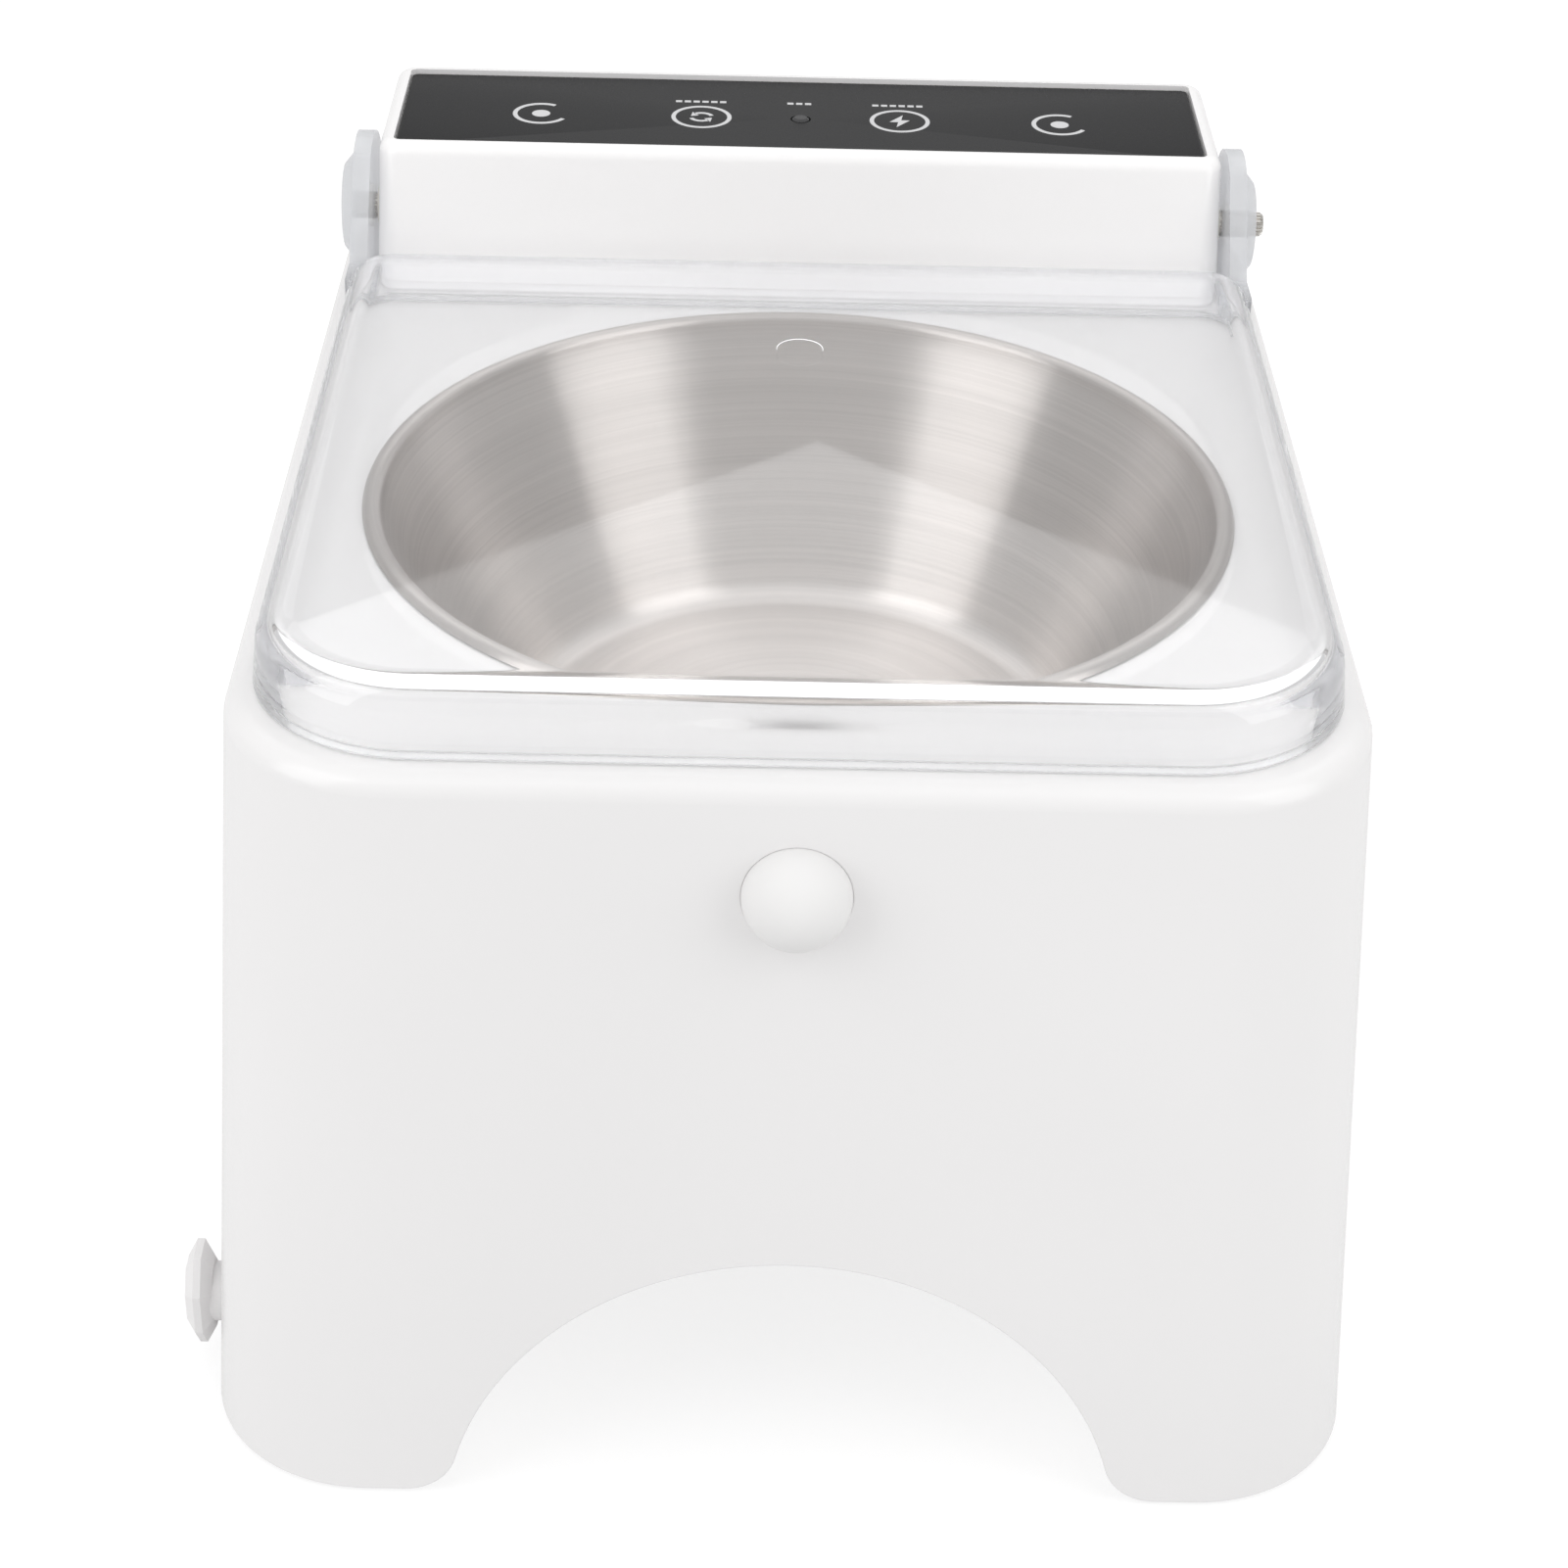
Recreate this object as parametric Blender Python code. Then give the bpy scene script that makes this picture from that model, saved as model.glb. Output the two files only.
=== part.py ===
"""Automatic clear-lid feeding bowl: a raised pet feeder with a motor-driven lid.

Every length below is in millimetres. finish_mesh() converts each mesh to metres once.
The product frame has X = 0 on the middle plane, Y = 0 on the front face at the deck,
Z = 0 on the floor. The datum empty then moves the whole product so that the world
origin is the centre of its footprint. +X is its right, +Y its back, +Z up.
"""
import math

import bmesh
import bpy
from mathutils import Matrix, Vector

MM = 0.001
GAP = 0.3

# Body shell: a drafted box with rounded corners
DECK_Z = 139.2
BASE_Z = 0.8
BODY_HALF_TOP = 90.0
BODY_HALF_BOTTOM = 98.6
BODY_FRONT_TOP = 0.0
BODY_FRONT_BOTTOM = -6.9
BODY_REAR_TOP = 231.5
BODY_REAR_BOTTOM = 238.4
BODY_CORNER = 28.0
DECK_FILLET = 3.5
WALL = 2.5
CORNER_STEPS = 7

# Arch between the legs, and the tunnel of the base cover behind it
ARCH_RADIUS = 57.0
ARCH_CENTRE_Z = -7.4
FOOT_FILLET = 9.0
COVER_WALL = 2.2

# Bowl
BOWL_Y = 91.5
BOWL_RIM_RADIUS = 74.9
BOWL_RIM_Z = 140.8
BOWL_FLOOR_Z = 92.4
BOWL_FLOOR_RADIUS = 45.0
BOWL_WALL_FOOT = (51.0, 97.4)
BOWL_WALL_TOP = (71.6, 139.6)
BOWL_SHEET = 0.8
BOWL_HOLE_RADIUS = 73.1
BOWL_STEPS = 44

# Lid, and its hinge axis along X
LID_HALF = 86.0
LID_FRONT = 5.0
LID_REAR = 172.0
LID_Z = 139.7
LID_HEIGHT = 12.0
LID_DRAFT = 1.2
LID_FILLET = 3.0
LID_WALL = 2.0
LID_FRONT_CORNER = 27.0
LID_REAR_CORNER = 9.0
HINGE_Y = 188.0
HINGE_Z = 152.5
EAR_INNER_X = 82.3
EAR_OUTER_X = 85.6
EAR_TOP_RADIUS = 14.4
EAR_SWING_RADIUS = 12.6
EAR_ROOT_Y = 160.0
BOSS_RADIUS = 8.2
BOSS_FACE_X = 88.2

# Head: the housing behind the lid
HEAD_HALF_BOTTOM = 81.6
HEAD_HALF_TOP = 81.0
HEAD_FRONT_BOTTOM = 175.0
HEAD_FRONT_TOP = 182.7
HEAD_REAR_BOTTOM = 227.5
HEAD_REAR_TOP = 226.1
HEAD_TOP_Z = 167.2
HEAD_CORNER = 4.0
HEAD_FILLET = 2.2
HEAD_WALL = 2.0
PANEL_RIM = 2.7
PANEL_DEPTH = 1.9
PANEL_THICKNESS = 0.7
PANEL_FLOOR_Z = HEAD_TOP_Z - PANEL_DEPTH
HEAD_CEILING_Z = PANEL_FLOOR_Z - 1.8

# Controls on the panel
KEY_Y = 202.8
KEY_RADIUS = 1.7
LED_X = 19.5
LED_RADIUS = 5.0
BOARD_Z = 157.0
BOARD_THICKNESS = 1.6

# Drive: a motor, an idler and the output gear, all turning about X
GEAR_X = 61.0
GEAR_WIDTH = 6.0
OUTPUT_TIP = 6.6
IDLER_TIP = 8.0
PINION_TIP = 3.2
IDLER_Y = HINGE_Y + OUTPUT_TIP + IDLER_TIP + GAP
PINION_Y = IDLER_Y + IDLER_TIP + PINION_TIP + GAP
TOOTH_DEPTH = 1.3
CASE_LEFT_X = 58.0
CASE_RIGHT_X = 70.5
CASE_PLATE = 1.5
MOTOR_RADIUS = 7.5
MOTOR_LENGTH = 25.0
SHAFT_RADIUS = 2.33
SHAFT_END_X = 90.5

# Motion sensor in the front wall
PIR_Z = 120.0
PIR_WALL_Y = -0.8
DOME_RADIUS = 8.6
DOME_SHELL = 1.0
DOME_FLANGE_RADIUS = 10.5

# Charging socket and its plug in the left leg
SOCKET_Y = 28.0
SOCKET_Z = 14.0
SOCKET_FACE_X = -94.6
PLUG_FACE_X = -104.5
PLUG_HEAD = 4.7
PLUG_HEAD_RADIUS = 9.5
PLUG_STEM_RADIUS = 5.25
PLUG_TIP_RADIUS = 2.9

# Battery in the right leg
CELL_RADIUS = 9.2
CELL_LENGTH = 65.0
CELL_X = 76.0
CELL_Y = 62.0
CELL_Z = 16.5

FOOT_RADIUS = 6.0
FOOT_PLACES = {
    "front_left": (-78.0, 18.0),
    "front_right": (78.0, 18.0),
    "rear_left": (-78.0, 214.0),
    "rear_right": (78.0, 214.0),
}
BASE_SCREW_PLACES = {
    "front_left": (-78.0, 50.0),
    "front_right": (78.0, 50.0),
    "rear_left": (-78.0, 190.0),
    "rear_right": (78.0, 190.0),
}
BASE_SCREW_Z = 4.7
POST_RADIUS = 3.6
POST_BORE = 1.8
HEAD_SCREW_X = 75.0
HEAD_SCREW_Y = 220.6

DOME_TIP_Y = PIR_WALL_Y - DOME_RADIUS
MIDDLE_X = (PLUG_FACE_X + BODY_HALF_BOTTOM) / 2
MIDDLE_Y = (DOME_TIP_Y + BODY_REAR_BOTTOM) / 2

LAY_ALONG = {
    "X": Matrix.Rotation(math.radians(90), 4, "Y"),
    "Y": Matrix.Rotation(math.radians(-90), 4, "X"),
    "Z": Matrix.Identity(4),
}


# ---------------------------------------------------------------- scene helpers

def clear_scene():
    for old in list(bpy.data.objects):
        bpy.data.objects.remove(old, do_unlink=True)


def make_material(name, colour, roughness, metallic=0.0, alpha=1.0):
    made = bpy.data.materials.new(name)
    made.use_nodes = True
    shader = made.node_tree.nodes["Principled BSDF"]
    shader.inputs["Base Color"].default_value = (*colour, 1.0)
    shader.inputs["Roughness"].default_value = roughness
    shader.inputs["Metallic"].default_value = metallic
    shader.inputs["Alpha"].default_value = alpha
    return made


def make_datum():
    datum = bpy.data.objects.new("datum", None)
    datum.location = (-MIDDLE_X * MM, -MIDDLE_Y * MM, 0.0)
    bpy.context.scene.collection.objects.link(datum)
    return datum


def finish_mesh(name, bm, colour=None, origin=(0.0, 0.0, 0.0), cutter=False):
    """Turn a closed bmesh in product millimetres into an object with that origin."""
    bmesh.ops.recalc_face_normals(bm, faces=bm.faces)
    bmesh.ops.translate(bm, verts=bm.verts, vec=-Vector(origin))
    bmesh.ops.scale(bm, verts=bm.verts, vec=(MM, MM, MM))
    mesh = bpy.data.meshes.new(name)
    bm.to_mesh(mesh)
    bm.free()
    mesh.shade_smooth()
    mesh.set_sharp_from_angle(angle=math.radians(32))
    made = bpy.data.objects.new(name, mesh)
    made.location = Vector(origin) * MM
    made.parent = DATUM
    bpy.context.scene.collection.objects.link(made)
    if colour:
        mesh.materials.append(colour)
    if cutter:
        made.hide_render = True
        made.display_type = "WIRE"
    return made


def boolean(target, tool, operation="DIFFERENCE"):
    step = target.modifiers.new(tool.name, "BOOLEAN")
    step.operation = operation
    step.solver = "EXACT"
    step.object = tool


def cut(target, bm):
    tool = finish_mesh(f"cut_{target.name}_{len(target.modifiers)}", bm, cutter=True)
    boolean(target, tool)


def join(target, bm):
    tool = finish_mesh(f"join_{target.name}_{len(target.modifiers)}", bm, cutter=True)
    boolean(target, tool, "UNION")


# ---------------------------------------------------------------- shape helpers

def rounded_rectangle(half, front, rear, front_radius, rear_radius, z):
    corners = (
        (half - rear_radius, rear - rear_radius, rear_radius, 0),
        (rear_radius - half, rear - rear_radius, rear_radius, 90),
        (front_radius - half, front + front_radius, front_radius, 180),
        (half - front_radius, front + front_radius, front_radius, 270),
    )
    points = []
    for centre_x, centre_y, radius, start in corners:
        for step in range(CORNER_STEPS + 1):
            angle = math.radians(start + 90 * step / CORNER_STEPS)
            x = centre_x + radius * math.cos(angle)
            y = centre_y + radius * math.sin(angle)
            points.append(Vector((x, y, z)))
    return points


def loft(rings):
    """Close the surface through rings that all have the same number of points."""
    bm = bmesh.new()
    loops = [[bm.verts.new(point) for point in ring] for ring in rings]
    for lower, upper in zip(loops, loops[1:]):
        for here in range(len(lower)):
            after = (here + 1) % len(lower)
            bm.faces.new((lower[here], lower[after], upper[after], upper[here]))
    bm.faces.new(loops[0])
    bm.faces.new(loops[-1])
    return bm


def prism(outline, reach):
    """Extrude a flat outline of points by the vector reach."""
    bm = bmesh.new()
    face = bm.faces.new([bm.verts.new(point) for point in outline])
    grown = bmesh.ops.extrude_face_region(bm, geom=[face])["geom"]
    moved = [item for item in grown if isinstance(item, bmesh.types.BMVert)]
    bmesh.ops.translate(bm, verts=moved, vec=reach)
    return bm


def turned(profile, axis="Z", centre=(0.0, 0.0, 0.0), steps=24, ring=False):
    """Spin (radius, height) points about an axis. A ring profile closes on itself."""
    bm = bmesh.new()
    rows = []
    for radius, height in profile:
        if radius == 0:
            rows.append([bm.verts.new((0, 0, height))] * steps)
            continue
        row = []
        for step in range(steps):
            angle = 2 * math.pi * step / steps
            place = (radius * math.cos(angle), radius * math.sin(angle), height)
            row.append(bm.verts.new(place))
        rows.append(row)
    pairs = list(zip(rows, rows[1:]))
    if ring:
        pairs.append((rows[-1], rows[0]))
    for first, second in pairs:
        for here in range(steps):
            after = (here + 1) % steps
            corners = (first[here], first[after], second[after], second[here])
            bm.faces.new(list(dict.fromkeys(corners)))
    bmesh.ops.transform(bm, verts=bm.verts, matrix=LAY_ALONG[axis])
    bmesh.ops.translate(bm, verts=bm.verts, vec=centre)
    return bm


def rod(radius, start, end, axis="Z", centre=(0.0, 0.0, 0.0), steps=24):
    profile = ((0, start), (radius, start), (radius, end), (0, end))
    return turned(profile, axis, centre, steps)


def block(low, high, bevel=0.0):
    """A box between two corners, with its edges bevelled by a small width."""
    bm = bmesh.new()
    bmesh.ops.create_cube(bm, size=1.0)
    size = Vector(high) - Vector(low)
    bmesh.ops.scale(bm, verts=bm.verts, vec=size)
    bmesh.ops.translate(bm, verts=bm.verts, vec=(Vector(high) + Vector(low)) / 2)
    if bevel:
        edges = list(bm.edges)
        bmesh.ops.bevel(bm, geom=edges, offset=bevel, segments=1, affect="EDGES")
    return bm


def gear(tip, teeth, centre_y, hub_radius, hub_start, hub_end):
    """A spur gear about X with straight-sided teeth and a hub or axle through it."""
    root = tip - TOOTH_DEPTH
    outline = []
    for tooth in range(teeth):
        for share, radius in ((0.0, root), (0.35, root), (0.5, tip), (0.8, tip)):
            angle = 2 * math.pi * (tooth + share) / teeth
            y = centre_y + radius * math.cos(angle)
            z = HINGE_Z + radius * math.sin(angle)
            outline.append(Vector((GEAR_X, y, z)))
    wheel = prism(outline, (GEAR_WIDTH, 0, 0))
    hub = rod(hub_radius, hub_start, hub_end, "X", (0, centre_y, HINGE_Z), 16)
    return wheel, hub


def smooth_route(points, pieces=4):
    """A Catmull-Rom curve through hand-placed points."""
    padded = [points[0], *points, points[-1]]
    route = []
    for before, start, end, after in zip(padded, padded[1:], padded[2:], padded[3:]):
        for piece in range(pieces):
            t = piece / pieces
            place = []
            for a, b, c, d in zip(before, start, end, after):
                bend = 2 * a - 5 * b + 4 * c - d
                twist = 3 * b - a - 3 * c + d
                place.append(0.5 * (2 * b + (c - a) * t + bend * t * t + twist * t ** 3))
            route.append(place)
    route.append(list(points[-1]))
    return route


def lead(name, points, radius, colour):
    """A round lead: a smooth tube through its route."""
    route = smooth_route(points)
    curve = bpy.data.curves.new(name, "CURVE")
    curve.dimensions = "3D"
    curve.bevel_depth = radius * MM
    curve.bevel_resolution = 2
    curve.use_fill_caps = True
    curve.render_resolution_u = 0
    spline = curve.splines.new("POLY")
    spline.points.add(len(route) - 1)
    for point, place in zip(spline.points, route):
        point.co = (*(Vector(place) * MM), 1.0)
    curve.materials.append(colour)
    made = bpy.data.objects.new(name, curve)
    made.parent = DATUM
    bpy.context.scene.collection.objects.link(made)


def screw_post(x, y, low, top):
    """A post that hangs from a ceiling, with a blind hole for its screw."""
    profile = ((0, low + 14), (POST_BORE, low + 14), (POST_BORE, low), (POST_RADIUS, low),
               (POST_RADIUS, top), (0, top))
    return turned(profile, "Z", (x, y, 0), 16)


# ---------------------------------------------------------------- body

def body_ring(z, inset=0.0):
    """The body's outline at height z, moved in by inset."""
    share = (z - BASE_Z) / (DECK_Z - BASE_Z)
    half = BODY_HALF_BOTTOM + (BODY_HALF_TOP - BODY_HALF_BOTTOM) * share
    front = BODY_FRONT_BOTTOM + (BODY_FRONT_TOP - BODY_FRONT_BOTTOM) * share
    rear = BODY_REAR_BOTTOM + (BODY_REAR_TOP - BODY_REAR_BOTTOM) * share
    radius = BODY_CORNER - inset
    return rounded_rectangle(half - inset, front + inset, rear - inset, radius, radius, z)


def fillet_levels(radius, steps=4):
    """(inset, drop) pairs of a quarter round from the side wall to the top."""
    pairs = []
    for step in range(steps + 1):
        angle = math.radians(90 * step / steps)
        pairs.append((radius * (1 - math.cos(angle)), radius * (1 - math.sin(angle))))
    return pairs


def arch_outline(offset, y):
    """The arch line from the left leg to the right, offset into the leg.

    Each end is rounded into the underside of the leg by a foot fillet.
    """
    foot_z = BASE_Z + FOOT_FILLET
    span = ARCH_RADIUS + FOOT_FILLET
    foot_x = math.sqrt(span ** 2 - (foot_z - ARCH_CENTRE_Z) ** 2)
    lean = math.atan2(foot_z - ARCH_CENTRE_Z, foot_x)
    fillet = FOOT_FILLET - offset
    right = []
    for step in range(5):
        angle = -math.pi / 2 + (lean - math.pi / 2) * step / 5
        right.append((foot_x + fillet * math.cos(angle), foot_z + fillet * math.sin(angle)))
    arch = []
    radius = ARCH_RADIUS + offset
    for step in range(25):
        angle = lean + (math.pi - 2 * lean) * step / 24
        arch.append((radius * math.cos(angle), ARCH_CENTRE_Z + radius * math.sin(angle)))
    left = [(-x, z) for x, z in reversed(right)]
    return [Vector((x, y, z)) for x, z in right + arch + left]


def make_body_shell():
    levels = [(0.0, DECK_Z - BASE_Z), *fillet_levels(DECK_FILLET)]
    body = finish_mesh(
        "body_shell", loft([body_ring(DECK_Z - drop, inset) for inset, drop in levels]), WHITE
    )
    cut(body, loft([body_ring(BASE_Z - 4, WALL), body_ring(DECK_Z - WALL, WALL)]))
    arch = arch_outline(0.0, BODY_FRONT_BOTTOM - 6)
    floor_line = [Vector((p.x, p.y, BASE_Z - 3)) for p in (arch[-1], arch[0])]
    through = BODY_REAR_BOTTOM - BODY_FRONT_BOTTOM + 12
    cut(body, prism([*arch, *floor_line], (0, through, 0)))
    bowl_centre = (0, BOWL_Y, 0)
    cut(body, rod(BOWL_HOLE_RADIUS, DECK_Z - 6, DECK_Z + 4, "Z", bowl_centre, BOWL_STEPS))
    cut(body, rod(DOME_RADIUS + GAP, -8, 8, "Y", (0, 0, PIR_Z)))
    socket = (0, SOCKET_Y, SOCKET_Z)
    cut(body, rod(PLUG_STEM_RADIUS + GAP, PLUG_FACE_X, -90, "X", socket))
    cut(body, block((-34, 194, DECK_Z - 6), (34, 212, DECK_Z + 4)))
    for side in (-1, 1):
        hole = (side * HEAD_SCREW_X, HEAD_SCREW_Y, 0)
        cut(body, rod(1.9, DECK_Z - 6, DECK_Z + 4, "Z", hole, 16))
    for x, y in BASE_SCREW_PLACES.values():
        join(body, screw_post(x, y, BASE_SCREW_Z + 2.2 + GAP, DECK_Z - WALL + 0.6))


def make_base_cover():
    """The bottom cover: two leg plates joined by the tunnel under the body."""
    front = BODY_FRONT_BOTTOM - 4
    lower = arch_outline(0.0, front)
    upper = arch_outline(COVER_WALL, front)
    side = BODY_HALF_BOTTOM + 6
    lower = [Vector((side, front, BASE_Z)), *lower, Vector((-side, front, BASE_Z))]
    plate_top = BASE_Z + COVER_WALL
    upper = [Vector((side, front, plate_top)), *upper, Vector((-side, front, plate_top))]
    length = BODY_REAR_BOTTOM - BODY_FRONT_BOTTOM + 8
    cover = finish_mesh("base_cover", prism([*lower, *reversed(upper)], (0, length, 0)), WHITE)
    inset = WALL + GAP
    trim = loft([body_ring(BASE_Z - 3, inset), body_ring(ARCH_RADIUS + 6, inset)])
    boolean(cover, finish_mesh("trim_base_cover", trim, cutter=True), "INTERSECT")
    for x, y in FOOT_PLACES.values():
        cut(cover, rod(FOOT_RADIUS + GAP, BASE_Z - 2, BASE_Z + 1, "Z", (x, y, 0)))
    for x, y in BASE_SCREW_PLACES.values():
        centre = (x, y, 0)
        join(cover, rod(5.0, BASE_Z + 1, BASE_SCREW_Z + 2.2, "Z", centre, 20))
        cut(cover, rod(3.3, BASE_Z - 2, BASE_SCREW_Z + GAP, "Z", centre, 16))
        cut(cover, rod(1.9, BASE_Z - 2, BASE_SCREW_Z + 5, "Z", centre, 12))


def make_feet():
    for place, (x, y) in FOOT_PLACES.items():
        profile = ((0, 0), (FOOT_RADIUS - 0.6, 0), (FOOT_RADIUS, 0.5),
                   (FOOT_RADIUS, BASE_Z + 1 - GAP), (0, BASE_Z + 1 - GAP))
        finish_mesh(f"foot_pad_{place}", turned(profile, "Z", (x, y, 0), 20), RUBBER)


def screw(name, x, y, under_z, length):
    """A pan-head screw that points up, its head below under_z."""
    profile = ((0, under_z - 1.9), (2.2, under_z - 1.9), (3.0, under_z - 0.9),
               (3.0, under_z), (1.5, under_z), (1.5, under_z + length - 1),
               (0.6, under_z + length), (0, under_z + length))
    finish_mesh(name, turned(profile, "Z", (x, y, 0), 12), STEEL)


def make_screws():
    """Four screws hold the base cover to the body, and two the head to the deck."""
    for place, (x, y) in BASE_SCREW_PLACES.items():
        screw(f"base_screw_{place}", x, y, BASE_SCREW_Z, 9.0)
    for side, word in ((-1, "left"), (1, "right")):
        under = DECK_Z - WALL - GAP
        screw(f"head_screw_{word}", side * HEAD_SCREW_X, HEAD_SCREW_Y, under, 9.0)


# ---------------------------------------------------------------- bowl

def make_bowl():
    """Spun steel: floor, rounded corner, conical wall and a turned-over rim."""
    foot_r, foot_z = BOWL_WALL_FOOT
    top_r, top_z = BOWL_WALL_TOP
    corner_r = (BOWL_FLOOR_RADIUS + foot_r) / 2 + 1.2
    corner_z = BOWL_FLOOR_Z + 1.0
    inside = [(0, BOWL_FLOOR_Z), (BOWL_FLOOR_RADIUS, BOWL_FLOOR_Z), (corner_r, corner_z),
              (foot_r, foot_z), (top_r, top_z), (top_r + 0.8, BOWL_RIM_Z)]
    rim = [(BOWL_RIM_RADIUS - 0.7, BOWL_RIM_Z), (BOWL_RIM_RADIUS, BOWL_RIM_Z - 0.6),
           (BOWL_RIM_RADIUS, DECK_Z + GAP), (top_r + 0.8, DECK_Z + GAP)]
    outside = [(top_r - 0.1, top_z - 2.0), (foot_r + BOWL_SHEET, foot_z - 0.3),
               (corner_r + 0.4, corner_z - BOWL_SHEET), (BOWL_FLOOR_RADIUS, BOWL_FLOOR_Z - BOWL_SHEET),
               (0, BOWL_FLOOR_Z - BOWL_SHEET)]
    profile = inside + rim + outside
    finish_mesh("bowl", turned(profile, "Z", (0, BOWL_Y, 0), BOWL_STEPS), BRUSHED,
                origin=(0, BOWL_Y, DECK_Z))


# ---------------------------------------------------------------- lid

def lid_ring(height, inset):
    """The lid's outline at a height above its rim, moved in by inset."""
    inset = inset + LID_DRAFT * height / LID_HEIGHT
    front_radius = LID_FRONT_CORNER - inset
    rear_radius = LID_REAR_CORNER - inset
    return rounded_rectangle(LID_HALF - inset, LID_FRONT + inset, LID_REAR - inset,
                             front_radius, rear_radius, LID_Z + height)


def ear_outline(x):
    """One ear in the YZ plane: a plate from the lid's side to the rounded hinge eye.

    Its rear is held to the swing radius, so that it passes over the deck as it turns.
    """
    low = -EAR_SWING_RADIUS
    root = EAR_ROOT_Y - HINGE_Y
    top = LID_Z + LID_HEIGHT - 1.0 - HINGE_Z
    points = [(root, low)]
    for step in range(17):
        angle = math.radians(-90 + 210 * step / 16)
        reach = EAR_SWING_RADIUS
        if angle > 0:
            reach = min(EAR_TOP_RADIUS, EAR_SWING_RADIUS / max(math.cos(angle), 0.1))
        points.append((reach * math.cos(angle), reach * math.sin(angle)))
    points.append((LID_REAR - 4 - HINGE_Y, top))
    points.append((root, top))
    return [Vector((x, HINGE_Y + y, HINGE_Z + z)) for y, z in points]


def make_lid():
    outer = [lid_ring(0.0, 0.0)]
    outer += [lid_ring(LID_HEIGHT - drop, inset) for inset, drop in fillet_levels(LID_FILLET, 3)]
    lid = finish_mesh("lid", loft(outer), CLEAR, origin=(0, HINGE_Y, HINGE_Z))
    cavity_top = LID_HEIGHT - LID_WALL
    cut(lid, loft([lid_ring(-2.0, LID_WALL), lid_ring(cavity_top - 1.5, LID_WALL),
                   lid_ring(cavity_top, LID_WALL + 1.5)]))
    axis = (0, HINGE_Y, HINGE_Z)
    for side in (-1, 1):
        inner, outer_x = side * EAR_INNER_X, side * EAR_OUTER_X
        join(lid, prism(ear_outline(inner), (outer_x - inner, 0, 0)))
        start, end = sorted((side * (EAR_OUTER_X - 0.5), side * BOSS_FACE_X))
        join(lid, rod(BOSS_RADIUS, start, end, "X", axis))
    cut(lid, rod(SHAFT_RADIUS + GAP, EAR_INNER_X - 2, BOSS_FACE_X + 2, "X", axis, 16))
    cut(lid, rod(SHAFT_RADIUS + GAP, -BOSS_FACE_X + 1.2, -EAR_INNER_X + 2, "X", axis, 16))


# ---------------------------------------------------------------- head

def head_ring(z, inset=0.0):
    share = (z - DECK_Z) / (HEAD_TOP_Z - DECK_Z)
    half = HEAD_HALF_BOTTOM + (HEAD_HALF_TOP - HEAD_HALF_BOTTOM) * share
    front = HEAD_FRONT_BOTTOM + (HEAD_FRONT_TOP - HEAD_FRONT_BOTTOM) * share
    rear = HEAD_REAR_BOTTOM + (HEAD_REAR_TOP - HEAD_REAR_BOTTOM) * share
    radius = max(HEAD_CORNER - inset, 1.2)
    return rounded_rectangle(half - inset, front + inset, rear - inset, radius, radius, z)


def make_head_cover():
    rings = [head_ring(DECK_Z + GAP)]
    rings += [head_ring(HEAD_TOP_Z - drop, inset) for inset, drop in fillet_levels(HEAD_FILLET, 3)]
    head = finish_mesh("head_cover", loft(rings), WHITE)
    cut(head, loft([head_ring(DECK_Z - 3, HEAD_WALL), head_ring(HEAD_CEILING_Z, HEAD_WALL)]))
    cut(head, loft([head_ring(PANEL_FLOOR_Z, PANEL_RIM), head_ring(HEAD_TOP_Z + 3, PANEL_RIM)]))
    cut(head, rod(4.3, -95, 95, "X", (0, HINGE_Y, HINGE_Z), 20))
    cut(head, rod(KEY_RADIUS + GAP, 150, 175, "Z", (0, KEY_Y, 0), 16))
    for side in (-1, 1):
        place = (side * LED_X, KEY_Y, 0)
        cut(head, rod(LED_RADIUS + GAP, 150, 175, "Z", place, 20))
        post = screw_post(side * HEAD_SCREW_X, HEAD_SCREW_Y, DECK_Z + 0.7, HEAD_CEILING_Z + 0.6)
        join(head, post)


def make_panel():
    low = PANEL_FLOOR_Z + GAP
    rings = [head_ring(low, PANEL_RIM + GAP), head_ring(low + PANEL_THICKNESS, PANEL_RIM + GAP)]
    panel = finish_mesh("panel_overlay", loft(rings), BLACK)
    cut(panel, rod(KEY_RADIUS + GAP, low - 3, low + 4, "Z", (0, KEY_Y, 0), 16))


def make_controls():
    """The key with its collar, the tact switch below it and two light guides."""
    top = PANEL_FLOOR_Z + GAP + PANEL_THICKNESS + 0.4
    profile = ((0, top), (KEY_RADIUS - 0.5, top), (KEY_RADIUS, top - 0.4), (KEY_RADIUS, 163.1),
               (3.0, 163.1), (3.0, 161.9), (1.2, 161.9), (1.2, 161.0), (0, 161.0))
    finish_mesh("key_button", turned(profile, "Z", (0, KEY_Y, 0), 16), DARK,
                origin=(0, KEY_Y, top))
    board_top = BOARD_Z + BOARD_THICKNESS
    finish_mesh("panel_board", block((-62, 187.5, BOARD_Z), (29, 221, board_top)), GREEN)
    low = board_top + GAP
    finish_mesh("tact_switch", block((-3, KEY_Y - 3, low), (3, KEY_Y + 3, low + 1.4)), DARK)
    for side, word in ((-1, "switch"), (1, "charge")):
        guide = rod(LED_RADIUS, low, PANEL_FLOOR_Z, "Z", (side * LED_X, KEY_Y, 0), 20)
        finish_mesh(f"light_guide_{word}", guide, MILKY)


# ---------------------------------------------------------------- drive

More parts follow.
